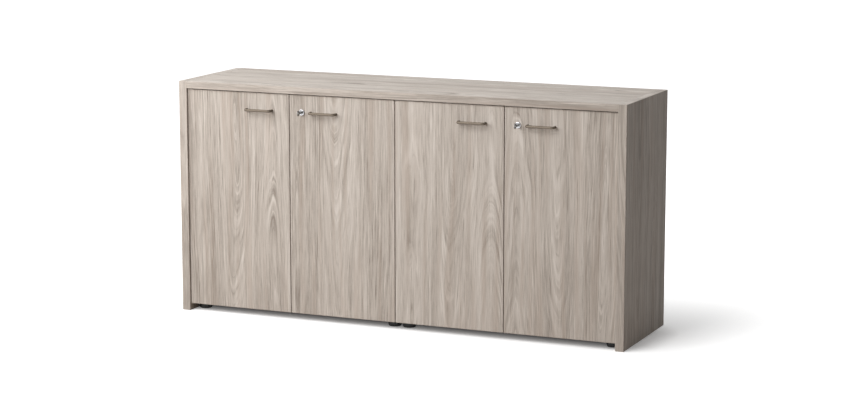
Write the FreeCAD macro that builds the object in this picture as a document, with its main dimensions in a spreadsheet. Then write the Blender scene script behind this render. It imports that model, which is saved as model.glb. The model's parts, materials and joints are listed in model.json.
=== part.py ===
import FreeCAD, Part
import math
import os
import Sketcher
from FreeCAD import Placement, Rotation, Vector

# An office credenza: two two-door carcasses side by side, wrapped by a top panel and two
# full-height end panels. Millimetres, +X to the right, the front faces -Y, +Z up. The origin is
# at the bottom centre of the whole object, keys included.

doc = FreeCAD.newDocument("credenza")
sheet = doc.addObject("Spreadsheet::Sheet", "Sizes")

SIZES = {
    # overall
    "UnitWidth": 800,
    "Depth": 440,
    "OverallHeight": 825,
    "TopThickness": 25,
    "EndThickness": 30,
    "EdgeRounding": 0.8,
    # carcasses
    "FootHeight": 25,
    "BoardThickness": 18,
    "BackThickness": 8,
    "BackInset": 12,
    "GrooveDepth": 8,
    "GroovePlay": 0.2,
    "ShelfLevel": 404,
    "ShelfSetback": 30,
    "ShelfPlay": 0.6,
    # shelf pins in rows of bored holes
    "PinRadius": 2.5,
    "PinPitch": 32,
    "PinHoleDepth": 12,
    "PinLength": 9,
    "PinRowInset": 37,
    "FitPlay": 0.08,
    # doors
    "DoorThickness": 18,
    "DoorGap": 3,
    "DoorRecess": 7,
    "DoorStandoff": 2.5,
    "BufferRadius": 4,
    "BufferPlay": 0.3,
    "BufferInset": 9,
    # handles
    "HandleDrop": 60,
    "HandleFromEdge": 115,
    "LockedHandleFromEdge": 132,
    "HandlePitch": 96,
    "HandleReach": 26,
    "HandleBend": 9,
    "HandleHeight": 9.5,
    "HandleBarDepth": 7.5,
    "HandleScrewRadius": 2,
    # locks and keys
    "LockFromEdge": 49,
    "LockBarrelRadius": 9,
    "LockHeadRadius": 10.5,
    "LockHeadProud": 4.5,
    "LockBarrelTail": 9,
    "LockNutRadius": 12.5,
    "LockNutThickness": 5,
    "PlugRadius": 6.5,
    "CamReach": 41,
    "CamWidth": 14,
    "CamThickness": 2.5,
    "StrikeWidth": 34,
    "StrikeDrop": 17,
    "StrikeThickness": 1.6,
    "StrikeToCam": 1,
    "KeyReach": 38,
    "KeyBowRadius": 9.5,
    "KeyThickness": 2.2,
    "KeyBladeHeight": 7,
    "KeyBladeLength": 20,
    "KeyPlay": 0.15,
    # hinges, measured from the door's front corner on the hinge side
    "HingeInset": 100,
    "CupRadius": 17.5,
    "CupDepth": 11.5,
    "CupWall": 0.9,
    "CupFromEdge": 23,
    "CupFlange": 1.2,
    "CupPinAcross": 12,
    "CupPinDeep": 13.5,
    "ArmPinAcross": 36,
    "ArmPinDeep": 38,
    "HingePinRadius": 1.3,
    "LinkThickness": 2.6,
    "LinkBowRadius": 18.2,
    "EyeRadius": 3.2,
    "ArmWidth": 16,
    "CheekThickness": 3,
    "ArmLength": 50,
    "PlateLength": 44,
    "PlateWidth": 52,
    "PlateThickness": 2.5,
    "PlateScrewPitch": 32,
    # feet
    "FootRadius": 24,
    "FootTaper": 2,
    "FootInset": 27.5,
    "FootSetback": 68,
    "SocketFlange": 3,
    "StemRadius": 4,
    "StemLength": 18,
    "SocketWall": 3,
    # fittings that join the boards
    "CamLockRadius": 7.5,
    "CamLockDepth": 13,
    "CamLockFromEnd": 24,
    "CamBoltRadius": 3.5,
    "CamBoltGrip": 10,
    "FittingInset": 60,
    "ScrewRadius": 2,
    "ScrewHeadRadius": 4,
    "ScrewHeadThickness": 2,
    "ScrewBite": 12,
    "JoiningBoltRadius": 3,
    "JoiningHeadRadius": 8,
    "JoiningHeadThickness": 1.8,
}

for row, (alias, size) in enumerate(SIZES.items(), start=1):
    sheet.set(f"A{row}", alias)
    sheet.set(f"B{row}", str(size))
    sheet.setAlias(f"B{row}", alias)
doc.recompute()


def sizes(text):
    """The expression with each alias of the sheet written as a reference to its cell."""
    words = []
    word = ""
    for letter in text + " ":
        if letter.isalnum():
            word += letter
            continue
        words.append(f"Sizes.{word}" if word in SIZES else word)
        words.append(letter)
        word = ""
    return "".join(words).strip()


def number(text):
    """The present value of an expression of aliases."""
    result = sheet.evalExpression(sizes(text))
    return float(getattr(result, "Value", result))


def bind(thing, **expressions):
    """Ties properties to expressions; two underscores in a name stand for a dot."""
    for name, text in expressions.items():
        thing.setExpression(name.replace("__", "."), sizes(text))


def place(thing, at):
    """Ties a thing's position to three expressions."""
    bind(thing, Placement__Base__x=at[0], Placement__Base__y=at[1], Placement__Base__z=at[2])


# Planes that several pieces share, as expressions of the sheet.
FRONT = "(-(Depth - KeyReach + DoorRecess) / 2)"
DOOR_FACE = f"({FRONT} + DoorRecess)"
DOOR_BACK = f"({DOOR_FACE} + DoorThickness)"
CARCASS_FRONT = f"({DOOR_BACK} + DoorStandoff)"
BACK = f"({FRONT} + Depth)"
CARCASS_DEPTH = "(Depth - DoorRecess - DoorThickness - DoorStandoff)"
CARCASS_TOP = "(OverallHeight - TopThickness)"
CARCASS_HEIGHT = f"({CARCASS_TOP} - FootHeight)"
FLOOR_BOARD_TOP = "(FootHeight + BoardThickness)"
CEILING = f"({CARCASS_TOP} - BoardThickness)"
INNER_WIDTH = "(UnitWidth - 2 * BoardThickness)"
GROOVE_FRONT = f"({CARCASS_DEPTH} - BackInset - BackThickness - GroovePlay)"
GROOVE_WIDTH = "(BackThickness + 2 * GroovePlay)"
DOOR_WIDTH = "(UnitWidth / 2 - DoorGap)"
DOOR_HEIGHT = f"({CARCASS_HEIGHT} - DoorGap)"
HANDLE_LEVEL = f"({CARCASS_TOP} - DoorGap - HandleDrop)"
PIN_ROWS = ("PinRowInset", f"({GROOVE_FRONT} - PinRowInset)")
FITTING_ROWS = ("FittingInset", f"({GROOVE_FRONT} - FittingInset)")
FOOT_ROWS = (
    f"({FRONT} + FootSetback)",
    f"({BACK} - FootSetback)",
)
HINGE_LEVELS = ("(FootHeight + HingeInset)", f"({CARCASS_TOP} - DoorGap - HingeInset)")
PIN_HOLES = 7

UNITS = {"left": "(-UnitWidth)", "right": "0"}


# ---------------------------------------------------------------- Part Design helpers


def new_body(label, at):
    """An empty body with its own place."""
    body = doc.addObject("PartDesign::Body", label)
    body.Label = label
    place(body, at)
    return body


def sketch_on(body, role, offset="0"):
    """A sketch parallel to one of the body's own origin planes."""
    plane = next(item for item in body.Origin.OriginFeatures if item.Role == role)
    sketch = body.newObject("Sketcher::SketchObject", f"{body.Name}_sketch")
    sketch.AttachmentSupport = (plane, [""])
    sketch.MapMode = "FlatFace"
    bind(sketch, AttachmentOffset__Base__z=offset)
    return sketch


def fix(sketch, kind, geometry, point, text):
    """Ties a point's distance from the sketch's origin to an expression."""
    value = number(text)
    if abs(value) < 1e-9:
        axis = -2 if kind == "DistanceX" else -1
        sketch.addConstraint(Sketcher.Constraint("PointOnObject", geometry, point, axis))
        return
    index = sketch.addConstraint(Sketcher.Constraint(kind, -1, 1, geometry, point, value))
    bind(sketch, **{f"Constraints[{index}]": text})


def rectangle(sketch, left, low, right, high):
    """A rectangle between two corners given by four expressions."""
    x0, y0, x1, y1 = number(left), number(low), number(right), number(high)
    corners = [Vector(x0, y0, 0), Vector(x1, y0, 0), Vector(x1, y1, 0), Vector(x0, y1, 0)]
    first = sketch.GeometryCount
    for index in range(4):
        sketch.addGeometry(Part.LineSegment(corners[index], corners[(index + 1) % 4]), False)
    for index in range(4):
        following = first + (index + 1) % 4
        sketch.addConstraint(Sketcher.Constraint("Coincident", first + index, 2, following, 1))
    for index in (0, 2):
        sketch.addConstraint(Sketcher.Constraint("Horizontal", first + index))
        sketch.addConstraint(Sketcher.Constraint("Vertical", first + index + 1))
    fix(sketch, "DistanceX", first, 1, left)
    fix(sketch, "DistanceY", first, 1, low)
    fix(sketch, "DistanceX", first + 2, 1, right)
    fix(sketch, "DistanceY", first + 2, 1, high)


def circle(sketch, across, up, radius):
    """A circle whose centre and radius follow expressions."""
    middle = Vector(number(across), number(up), 0)
    index = sketch.addGeometry(Part.Circle(middle, Vector(0, 0, 1), number(radius)), False)
    fix(sketch, "DistanceX", index, 3, across)
    fix(sketch, "DistanceY", index, 3, up)
    size = sketch.addConstraint(Sketcher.Constraint("Radius", index, number(radius)))
    bind(sketch, **{f"Constraints[{size}]": radius})


def pad(body, sketch, length, backwards=False):
    """A pad of the sketch; backwards runs against the sketch's normal."""
    feature = body.newObject("PartDesign::Pad", f"{body.Name}_pad")
    feature.Profile = sketch
    feature.Reversed = backwards
    bind(feature, Length=length)
    sketch.Visibility = False
    return feature


def pocket(body, sketch, depth, forwards=False):
    """A pocket against the sketch's normal, or forwards along it."""
    feature = body.newObject("PartDesign::Pocket", f"{body.Name}_pocket")
    feature.Profile = sketch
    feature.Reversed = forwards
    bind(feature, Length=depth)
    sketch.Visibility = False
    return feature


def bores(body, role, offset, centres, radius, depth, forwards=False):
    """Round bores of one size and depth, all sunk from one plane."""
    sketch = sketch_on(body, role, offset)
    for across, up in centres:
        circle(sketch, across, up, radius)
    return pocket(body, sketch, depth, forwards)


def groove(body, role, offset, corners, depth, forwards=False):
    """A straight groove between two corners, sunk from one plane."""
    sketch = sketch_on(body, role, offset)
    rectangle(sketch, *corners)
    return pocket(body, sketch, depth, forwards)


def board(label, role, width, height, thickness, at):
    """A plain board that lies on one of its own origin planes."""
    body = new_body(label, at)
    sketch = sketch_on(body, role)
    rectangle(sketch, "0", "0", width, height)
    pad(body, sketch, thickness, backwards=role == "XZ_Plane")
    return body


def round_edges(body, radius):
    """Rounds all twelve edges of a plain board, as its edge banding is."""
    doc.recompute()
    base = body.Tip
    feature = body.newObject("PartDesign::Fillet", f"{body.Name}_rounding")
    feature.Base = (base, [f"Edge{index}" for index in range(1, len(base.Shape.Edges) + 1)])
    bind(feature, Radius=radius)
    return feature


# ---------------------------------------------------------------- Part helpers

TURNS = {
    "x": Rotation(Vector(0, 1, 0), 90),
    "y": Rotation(Vector(1, 0, 0), -90),
    "z": Rotation(),
}


def cylinder(name, radius, height, at, axis="z"):
    """A round bar that runs along an axis from its start point."""
    bar = doc.addObject("Part::Cylinder", name)
    bar.Placement = Placement(Vector(), TURNS[axis])
    bind(bar, Radius=radius, Height=height)
    place(bar, at)
    return bar


def box(name, low, size):
    """A block with its lowest corner and its three sizes given by expressions."""
    block = doc.addObject("Part::Box", name)
    bind(block, Length=size[0], Width=size[1], Height=size[2])
    place(block, low)
    return block


def fuse(name, pieces):
    """One solid made of several that meet."""
    joined = doc.addObject("Part::MultiFuse", name)
    joined.Shapes = pieces
    joined.Refine = True
    return joined


def cut(name, base, tool):
    """The base without the tool."""
    result = doc.addObject("Part::Cut", name)
    result.Base = base
    result.Tool = tool
    return result


def group(label, pieces):
    """Separate solids of one kind, kept together as one sub-part."""
    joined = doc.addObject("Part::Compound", label)
    joined.Label = label
    joined.Links = pieces
    return joined


def plus(*terms):
    """The sum of several expressions."""
    return "(" + " + ".join(terms) + ")"


def less(first, second):
    """The difference of two expressions."""
    return f"({first} - {second})"


# ---------------------------------------------------------------- wrap-around panels


def end_panel(label, inner_face, inwards_at_start):
    """A full-height end panel that stands on the floor, with blind holes for its screws."""
    body = board(label, "YZ_Plane", "Depth", "OverallHeight", "EndThickness", (inner_face, FRONT, "0"))
    round_edges(body, "EdgeRounding")
    offset = "0" if inwards_at_start else "EndThickness"
    centres = [(less(y, FRONT), z) for y, z in side_screw_spots()]
    depth = "ScrewBite + ScrewRadius"
    bores(body, "YZ_Plane", offset, centres, "ScrewRadius + FitPlay", depth, forwards=inwards_at_start)
    return body


def side_screw_spots():
    """Where screws pass from a carcass side into an end panel: y and z."""
    rows = [plus(CARCASS_FRONT, row) for row in FITTING_ROWS]
    levels = [plus(FLOOR_BOARD_TOP, "FittingInset"), less(CEILING, "FittingInset")]
    return [(row, level) for row in rows for level in levels]


def top_screw_spots(unit_left):
    """Where screws pass from a carcass top into the top panel: x and y."""
    columns = [plus(unit_left, "2 * FittingInset"), plus(unit_left, "UnitWidth - 2 * FittingInset")]
    rows = [plus(CARCASS_FRONT, row) for row in FITTING_ROWS]
    return [(column, row) for column in columns for row in rows]


def top_panel():
    """The long top panel between the end panels, with blind holes for its screws."""
    at = ("-UnitWidth", FRONT, CARCASS_TOP)
    body = board("top_panel", "XY_Plane", "2 * UnitWidth", "Depth", "TopThickness", at)
    round_edges(body, "EdgeRounding")
    centres = []
    for unit_left in UNITS.values():
        for x, y in top_screw_spots(unit_left):
            centres.append((plus(x, "UnitWidth"), less(y, FRONT)))
    depth = "ScrewBite + ScrewRadius"
    bores(body, "XY_Plane", "0", centres, "ScrewRadius + FitPlay", depth, forwards=True)
    return body


# ---------------------------------------------------------------- carcasses


def carcass_side(unit, hand, unit_left):
    """A carcass side with its back groove, shelf holes, bolt holes and screw or bolt passages."""
    is_left = hand == "left"
    x = unit_left if is_left else plus(unit_left, "UnitWidth - BoardThickness")
    label = f"{unit}_unit_{hand}_side"
    at = (x, CARCASS_FRONT, "FootHeight")
    body = board(label, "YZ_Plane", CARCASS_DEPTH, CARCASS_HEIGHT, "BoardThickness", at)
    inner = "BoardThickness" if is_left else "0"
    corners = (GROOVE_FRONT, "0", plus(GROOVE_FRONT, GROOVE_WIDTH), CARCASS_HEIGHT)
    groove(body, "YZ_Plane", inner, corners, "GrooveDepth", forwards=not is_left)
    holes = [(row, shelf_hole_level(step)) for row in PIN_ROWS for step in range(PIN_HOLES)]
    bores(body, "YZ_Plane", inner, holes, "PinRadius + FitPlay", "PinHoleDepth", forwards=not is_left)
    levels = ("BoardThickness / 2", f"{CARCASS_HEIGHT} - BoardThickness / 2")
    bolts = [(row, level) for row in FITTING_ROWS for level in levels]
    grip = "CamBoltGrip + FitPlay"
    bores(body, "YZ_Plane", inner, bolts, "CamBoltRadius + FitPlay", grip, forwards=not is_left)
    spots = [(less(y, CARCASS_FRONT), less(z, "FootHeight")) for y, z in side_screw_spots()]
    touches_end = (unit == "left") == is_left
    radius = "ScrewRadius + FitPlay" if touches_end else "JoiningBoltRadius + FitPlay"
    bores(body, "YZ_Plane", inner, spots, radius, "2 * BoardThickness", forwards=not is_left)
    return body


def shelf_hole_level(step):
    """The height of one shelf hole above the carcass side's lower edge."""
    return f"(ShelfLevel - PinRadius - FootHeight + {step - PIN_HOLES // 2} * PinPitch)"


def carcass_plank(unit, unit_left, kind):
    """The bottom or the top of a carcass: back groove, cam bores, bolt bores, foot or screw holes."""
    is_bottom = kind == "bottom"
    level = "FootHeight" if is_bottom else CEILING
    at = (plus(unit_left, "BoardThickness"), CARCASS_FRONT, level)
    body = board(f"{unit}_unit_{kind}", "XY_Plane", INNER_WIDTH, CARCASS_DEPTH, "BoardThickness", at)
    inner = "BoardThickness" if is_bottom else "0"
    outer = "0" if is_bottom else "BoardThickness"
    corners = ("0", GROOVE_FRONT, INNER_WIDTH, plus(GROOVE_FRONT, GROOVE_WIDTH))
    groove(body, "XY_Plane", inner, corners, "GrooveDepth", forwards=not is_bottom)
    ends = ("CamLockFromEnd", less(INNER_WIDTH, "CamLockFromEnd"))
    cams = [(end, row) for end in ends for row in FITTING_ROWS]
    bores(body, "XY_Plane", outer, cams, "CamLockRadius + FitPlay", "CamLockDepth", forwards=is_bottom)
    bolts = [(row, "BoardThickness / 2") for row in FITTING_ROWS]
    for offset, forwards in (("0", True), (INNER_WIDTH, False)):
        bores(body, "YZ_Plane", offset, bolts, "CamBoltRadius + FitPlay", "CamLockFromEnd", forwards)
    if is_bottom:
        spots = [(less(x, at[0]), less(y, CARCASS_FRONT)) for x, y in foot_spots(unit_left)]
        radius = "StemRadius + SocketWall + FitPlay"
    else:
        spots = [(less(x, at[0]), less(y, CARCASS_FRONT)) for x, y in top_screw_spots(unit_left)]
        radius = "ScrewRadius + FitPlay"
    bores(body, "XY_Plane", outer, spots, radius, "2 * BoardThickness", forwards=is_bottom)
    return body


def carcass_back(unit, unit_left):
    """The back panel, held in the grooves on all four sides."""
    hold = "(GrooveDepth - GroovePlay)"
    at = (
        plus(unit_left, "BoardThickness", f"-{hold}"),
        plus(CARCASS_FRONT, GROOVE_FRONT, "GroovePlay"),
        plus(FLOOR_BOARD_TOP, f"-{hold}"),
    )
    width = f"({INNER_WIDTH} + 2 * {hold})"
    height = f"({CEILING} - {FLOOR_BOARD_TOP} + 2 * {hold})"
    return board(f"{unit}_unit_back", "XZ_Plane", width, height, "BackThickness", at)


def carcass_shelf(unit, unit_left):
    """The adjustable shelf that lies on four pins."""
    at = (
        plus(unit_left, "BoardThickness + ShelfPlay"),
        plus(CARCASS_FRONT, "ShelfSetback"),
        "ShelfLevel",
    )
    width = f"({INNER_WIDTH} - 2 * ShelfPlay)"
    depth = f"({GROOVE_FRONT} + GroovePlay - ShelfSetback - ShelfPlay)"
    body = board(f"{unit}_unit_shelf", "XY_Plane", width, depth, "BoardThickness", at)
    return body


def shelf_pins():
    """Four round steel pins under each shelf."""
    pins = []
    for unit, unit_left in UNITS.items():
        starts = (
            plus(unit_left, "BoardThickness - PinLength"),
            plus(unit_left, "UnitWidth - BoardThickness - PinLength"),
        )
        for x in starts:
            for row in PIN_ROWS:
                at = (x, plus(CARCASS_FRONT, row), "ShelfLevel - PinRadius")
                pins.append(cylinder("shelf_pin", "PinRadius", "2 * PinLength", at, "x"))
    return group("shelf_pins", pins)


def cam_fittings():
    """A round cam lock and its bolt at each end of every bottom and top, twice over."""
    pieces = []
    bolt_length = "(CamBoltGrip + CamLockFromEnd - CamLockRadius)"
    planks = (("FootHeight", "FootHeight"), (CEILING, less(CARCASS_TOP, "CamLockDepth")))
    for unit_left in UNITS.values():
        left_cam = plus(unit_left, "BoardThickness + CamLockFromEnd")
        right_cam = plus(unit_left, "UnitWidth - BoardThickness - CamLockFromEnd")
        left_bolt = plus(unit_left, "BoardThickness - CamBoltGrip")
        right_bolt = plus(right_cam, "CamLockRadius")
        for plank_low, cam_low in planks:
            middle = plus(plank_low, "BoardThickness / 2")
            for row in FITTING_ROWS:
                y = plus(CARCASS_FRONT, row)
                for x in (left_cam, right_cam):
                    cam = cylinder("cam_lock", "CamLockRadius", "CamLockDepth", (x, y, cam_low))
                    pieces.append(cam)
                for x in (left_bolt, right_bolt):
                    bolt = cylinder("cam_bolt", "CamBoltRadius", bolt_length, (x, y, middle), "x")
                    pieces.append(bolt)
    return group("cam_fittings", pieces)


def screw(start, axis, length, head_first):
    """A screw along an axis; its head lies outside the start point or past the end point."""
    shank = cylinder("screw_shank", "ScrewRadius", length, start, axis)
    index = "xyz".index(axis)
    head_start = list(start)
    before, after = less(start[index], "ScrewHeadThickness"), plus(start[index], length)
    head_start[index] = before if head_first else after
    head = cylinder("screw_head", "ScrewHeadRadius", "ScrewHeadThickness", tuple(head_start), axis)
    return fuse("screw", [shank, head])


def panel_screws():
    """The screws that hold the end panels and the top panel, driven from inside the carcasses."""
    length = "(BoardThickness + ScrewBite)"
    screws = []
    for y, z in side_screw_spots():
        left_start = ("-UnitWidth - ScrewBite", y, z)
        right_start = ("UnitWidth - BoardThickness", y, z)
        screws.append(screw(left_start, "x", length, head_first=False))
        screws.append(screw(right_start, "x", length, head_first=True))
    for unit_left in UNITS.values():
        for x, y in top_screw_spots(unit_left):
            screws.append(screw((x, y, CEILING), "z", length, head_first=True))
    return group("panel_screws", screws)


def joining_bolts():
    """The sleeve bolts that join the two carcasses through their inner sides."""
    bolts = []
    for y, z in side_screw_spots():
        shank = cylinder(
            "bolt_shank", "JoiningBoltRadius", "2 * BoardThickness", ("-BoardThickness", y, z), "x"
        )
        heads = [
            cylinder("bolt_head", "JoiningHeadRadius", "JoiningHeadThickness", (x, y, z), "x")
            for x in ("-BoardThickness - JoiningHeadThickness", "BoardThickness")
        ]
        bolts.append(fuse("joining_bolt", [shank, *heads]))
    return group("unit_joining_bolts", bolts)


# ---------------------------------------------------------------- levelling feet


def foot_spots(unit_left):
    """Where the feet of one carcass stand: x and y."""
    columns = (plus(unit_left, "FootInset"), plus(unit_left, "UnitWidth - FootInset"))
    return [(column, row) for row in FOOT_ROWS for column in columns]


def foot(label, at):
    """A black levelling foot: a round pad, tapered to the floor, with a stem that screws in."""
    body = new_body(label, at)
    sketch = sketch_on(body, "XZ_Plane")
    foot_top = "(FootHeight - SocketFlange)"
    outline = [
        ("0", "0"),
        ("FootRadius - FootTaper", "0"),
        ("FootRadius", f"{foot_top} / 2"),
        ("FootRadius", foot_top),
        ("StemRadius", foot_top),
        ("StemRadius", f"{foot_top} + StemLength"),
        ("0", f"{foot_top} + StemLength"),
    ]
    polygon(sketch, outline)
    feature = body.newObject("PartDesign::Revolution", f"{label}_turned")
    feature.Profile = sketch
    feature.ReferenceAxis = (sketch, ["V_Axis"])
    feature.Angle = 360
    sketch.Visibility = False
    return body


def polygon(sketch, outline):
    """A closed outline through points given by pairs of expressions."""
    points = [Vector(number(x), number(y), 0) for x, y in outline]
    count = len(points)
    for index in range(count):
        sketch.addGeometry(Part.LineSegment(points[index], points[(index + 1) % count]), False)
    for index in range(count):
        sketch.addConstraint(Sketcher.Constraint("Coincident", index, 2, (index + 1) % count, 1))
    for index, (x, y) in enumerate(outline):
        fix(sketch, "DistanceX", index, 1, x)
        fix(sketch, "DistanceY", index, 1, y)


def foot_sockets():
    """The flanged sockets under the carcass bottoms that the feet screw into."""
    sockets = []
    for unit_left in UNITS.values():
        for x, y in foot_spots(unit_left):
            low = (x, y, "(FootHeight - SocketFlange)")
            length = "SocketFlange + BoardThickness"
            flange = cylinder("socket_flange", "FootRadius", "SocketFlange", low)
            sleeve = cylinder("socket_sleeve", "StemRadius + SocketWall", length, low)
            bore = cylinder("socket_bore", "StemRadius + FitPlay", length, low)
            sockets.append(cut("foot_socket", fuse("socket_body", [flange, sleeve]), bore))
    return group("foot_sockets", sockets)


# ---------------------------------------------------------------- doors

DOORS = {
    1: {"unit_left": "(-UnitWidth)", "hinge": "left", "lock": None},
    2: {"unit_left": "(-UnitWidth)", "hinge": "right", "lock": "left"},
    3: {"unit_left": "0", "hinge": "left", "lock": None},
    4: {"unit_left": "0", "hinge": "right", "lock": "right"},
}


def door_left(door):
    """The x of a door's left edge."""
    shift = "DoorGap / 2" if door["hinge"] == "left" else "UnitWidth / 2 + DoorGap / 2"
    return plus(door["unit_left"], shift)


def hinge_corner(door):
    """The x of a door's vertical edge on its hinge side, and the sign towards its free edge."""
    if door["hinge"] == "left":
        return door_left(door), 1
    return plus(door_left(door), DOOR_WIDTH), -1


def handle_centre(door):
    """The x of a handle's middle, measured from where the two doors meet."""
    meeting = plus(door["unit_left"], "UnitWidth / 2")
    return plus(meeting, "LockedHandleFromEdge") if door["lock"] else less(meeting, "HandleFromEdge")


def lock_centre(door):
    """The x of a lock's axis, measured from where the two doors meet."""
    return plus(door["unit_left"], "UnitWidth / 2", "LockFromEdge")


def door_board(index, door):
    """A door with its cup bores, handle holes and, on the locked doors, the lock bore."""
    left = door_left(door)
    at = (left, DOOR_FACE, "FootHeight")
    body = board(f"door_{index}", "XZ_Plane", DOOR_WIDTH, DOOR_HEIGHT, "DoorThickness", at)
    round_edges(body, "EdgeRounding")
    corner, sign = hinge_corner(door)
    cup = less(f"({corner} + {sign} * CupFromEdge)", left)
    cups = [(cup, less(level, "FootHeight")) for level in HINGE_LEVELS]
    depth = "CupDepth + FitPlay"
    bores(body, "XZ_Plane", "-DoorThickness", cups, "CupRadius + FitPlay", depth, forwards=True)
    level = less(HANDLE_LEVEL, "FootHeight")
    middle = less(handle_centre(door), left)
    holes = [(f"{middle} + {side} * HandlePitch / 2", level) for side in (-1, 1)]
    bores(body, "XZ_Plane", "0", holes, "HandleScrewRadius + FitPlay", "2 * DoorThickness")
    if door["lock"]:
        hole = [(less(lock_centre(door), left), level)]
        bores(body, "XZ_Plane", "0", hole, "LockBarrelRadius + FitPlay", "2 * DoorThickness")
    return body


def door_buffers():
    """Soft round buffers on the carcass fronts that the free corners of the doors close against."""
    buffers = []
    thickness = "(DoorStandoff - BufferPlay)"
    levels = ("(FootHeight + BoardThickness / 2)", f"({CARCASS_TOP} - BoardThickness / 2)")
    for door in DOORS.values():
        meeting = plus(door["unit_left"], "UnitWidth / 2")
        side = 1 if door["hinge"] == "right" else -1
        x = f"({meeting} + {side} * (BufferInset + DoorGap))"
        for z in levels:
            at = (x, plus(DOOR_BACK, "BufferPlay"), z)
            buffers.append(cylinder("buffer", "BufferRadius", thickness, at, "y"))
    return group("door_buffers", buffers)


# ---------------------------------------------------------------- handles


def handle(index, door):
    """A bow handle: an oval bar swept out from the door, along it and back."""
    at = (handle_centre(door), DOOR_FACE, HANDLE_LEVEL)
    body = new_body(f"handle_{index}", at)
    path = sketch_on(body, "XY_Plane")
    half = number("HandlePitch / 2")
    reach = number("HandleReach - HandleBarDepth / 2")
    bend = number("HandleBend")
    straight, out = half - bend, bend - reach
    lines = (
        (Vector(-half, 0, 0), Vector(-half, out, 0)),
        (Vector(-straight, -reach, 0), Vector(straight, -reach, 0)),
        (Vector(half, out, 0), Vector(half, 0, 0)),
    )
    for start, end in lines:
        path.addGeometry(Part.LineSegment(start, end), False)
    for centre, start, end in ((-straight, 180, 270), (straight, 270, 360)):
        whole = Part.Circle(Vector(centre, out, 0), Vector(0, 0, 1), bend)
        path.addGeometry(Part.ArcOfCircle(whole, math.radians(start), math.radians(end)), False)
    for line in (0, 2):
        path.addConstraint(Sketcher.Constraint("Vertical", line))
    path.addConstraint(Sketcher.Constraint("Horizontal", 1))
    path.addConstraint(Sketcher.Constraint("Tangent", 0, 2, 3, 1))
    path.addConstraint(Sketcher.Constraint("Tangent", 3, 2, 1, 1))
    path.addConstraint(Sketcher.Constraint("Tangent", 1, 2, 4, 1))
    path.addConstraint(Sketcher.Constraint("Tangent", 4, 2, 2, 1))
    fix(path, "DistanceX", 0, 1, "-HandlePitch / 2")
    fix(path, "DistanceY", 0, 1, "0")
    fix(path, "DistanceX", 2, 2, "HandlePitch / 2")
    fix(path, "DistanceY", 2, 2, "0")
    fix(path, "DistanceY", 1, 1, "-(HandleReach - HandleBarDepth / 2)")
    for arc in (3, 4):
        size = path.addConstraint(Sketcher.Constraint("Radius", arc, bend))
        bind(path, **{f"Constraints[{size}]": "HandleBend"})
    section = sketch_on(body, "XZ_Plane")
    oval(section, "-HandlePitch / 2", "HandleBarDepth / 2", "HandleHeight / 2")
    feature = body.newObject("PartDesign::AdditivePipe", f"handle_{index}_bow")
    feature.Profile = section
    feature.Spine = (path, [f"Edge{edge}" for edge in range(1, 6)])
    path.Visibility = False
    section.Visibility = False
    holes = [(f"{side} * HandlePitch / 2", "0") for side in (-1, 1)]
    bores(body, "XZ_Plane", "0", holes, "HandleScrewRadius + FitPlay", "HandleReach / 2", forwards=True)
    return body


def oval(sketch, across, half_width, half_height):
    """An upright ellipse centred on the sketch's horizontal axis."""
    x, small, large = number(across), number(half_width), number(half_height)
    middle = Vector(x, 0, 0)
    ellipse = Part.Ellipse(Vector(x, large, 0), Vector(x + small, 0, 0), middle)
    index = sketch.addGeometry(ellipse, False)
    sketch.exposeInternalGeometry(index)
    major, minor = index + 1, index + 2
    sketch.addConstraint(Sketcher.Constraint("Vertical", major))
    fix(sketch, "DistanceX", index, 3, across)
    fix(sketch, "DistanceY", index, 3, "0")
    for line, half, text in ((major, large, half_height), (minor, small, half_width)):
        size = sketch.addConstraint(Sketcher.Constraint("Distance", line, 1, line, 2, 2 * half))
        bind(sketch, **{f"Constraints[{size}]": f"2 * {text}"})


def handle_screws(index, door):
    """Two screws through the door from behind, each into one foot of the handle."""
    bite = "(HandleReach / 3)"
    length = f"({bite} + DoorThickness)"
    screws = []
    for side in (-1, 1):
        x = f"({handle_centre(door)} + {side} * HandlePitch / 2)"
        start = (x, less(DOOR_FACE, bite), HANDLE_LEVEL)
        back = (x, DOOR_BACK, HANDLE_LEVEL)
        shank = cylinder("handle_screw_shank", "HandleScrewRadius", length, start, "y")
        head = cylinder("handle_screw_head", "2 * HandleScrewRadius", "ScrewHeadThickness", back, "y")
        screws.append(fuse("handle_screw", [shank, head]))
    return group(f"handle_screws_{index}", screws)


# ---------------------------------------------------------------- locks and keys


def lock_housing(name, door):
    """The fixed barrel with its round head in front and its nut behind the door."""
    x = lock_centre(door)
    front = (x, less(DOOR_FACE, "LockHeadProud"), HANDLE_LEVEL)
    back = (x, DOOR_BACK, HANDLE_LEVEL)
    length = "LockHeadProud + DoorThickness + LockBarrelTail"
    head = cylinder("lock_head", "LockHeadRadius", "LockHeadProud", front, "y")
    barrel = cylinder("lock_barrel", "LockBarrelRadius", length, front, "y")
    nut = cylinder("lock_nut", "LockNutRadius", "LockNutThickness", back, "y")
    bore = cylinder("lock_bore", "PlugRadius + FitPlay", length, front, "y")
    housing = cut(f"lock_housing_{name}", fuse("lock_shell", [head, barrel, nut]), bore)
    housing.Label = f"lock_housing_{name}"
    return housing


def lock_plug(name, door):
    """The plug that turns in the barrel, with a keyway for the blade."""
    x = lock_centre(door)
    head_start = less(DOOR_FACE, "LockHeadProud")
    length = "LockHeadProud + DoorThickness + LockBarrelTail"
    core = cylinder("plug_core", "PlugRadius", length, (x, head_start, HANDLE_LEVEL), "y")
    width = "(KeyThickness + 2 * KeyPlay)"
    height = "(KeyBladeHeight + 2 * KeyPlay)"
    low = (less(x, f"{width} / 2"), head_start, less(HANDLE_LEVEL, f"{height} / 2"))
    keyway = box("keyway", low, (width, "KeyBladeLength + KeyPlay", height))
    plug = cut(f"lock_plug_{name}", core, keyway)
    plug.Label = f"lock_plug_{name}"
    return plug


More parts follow.
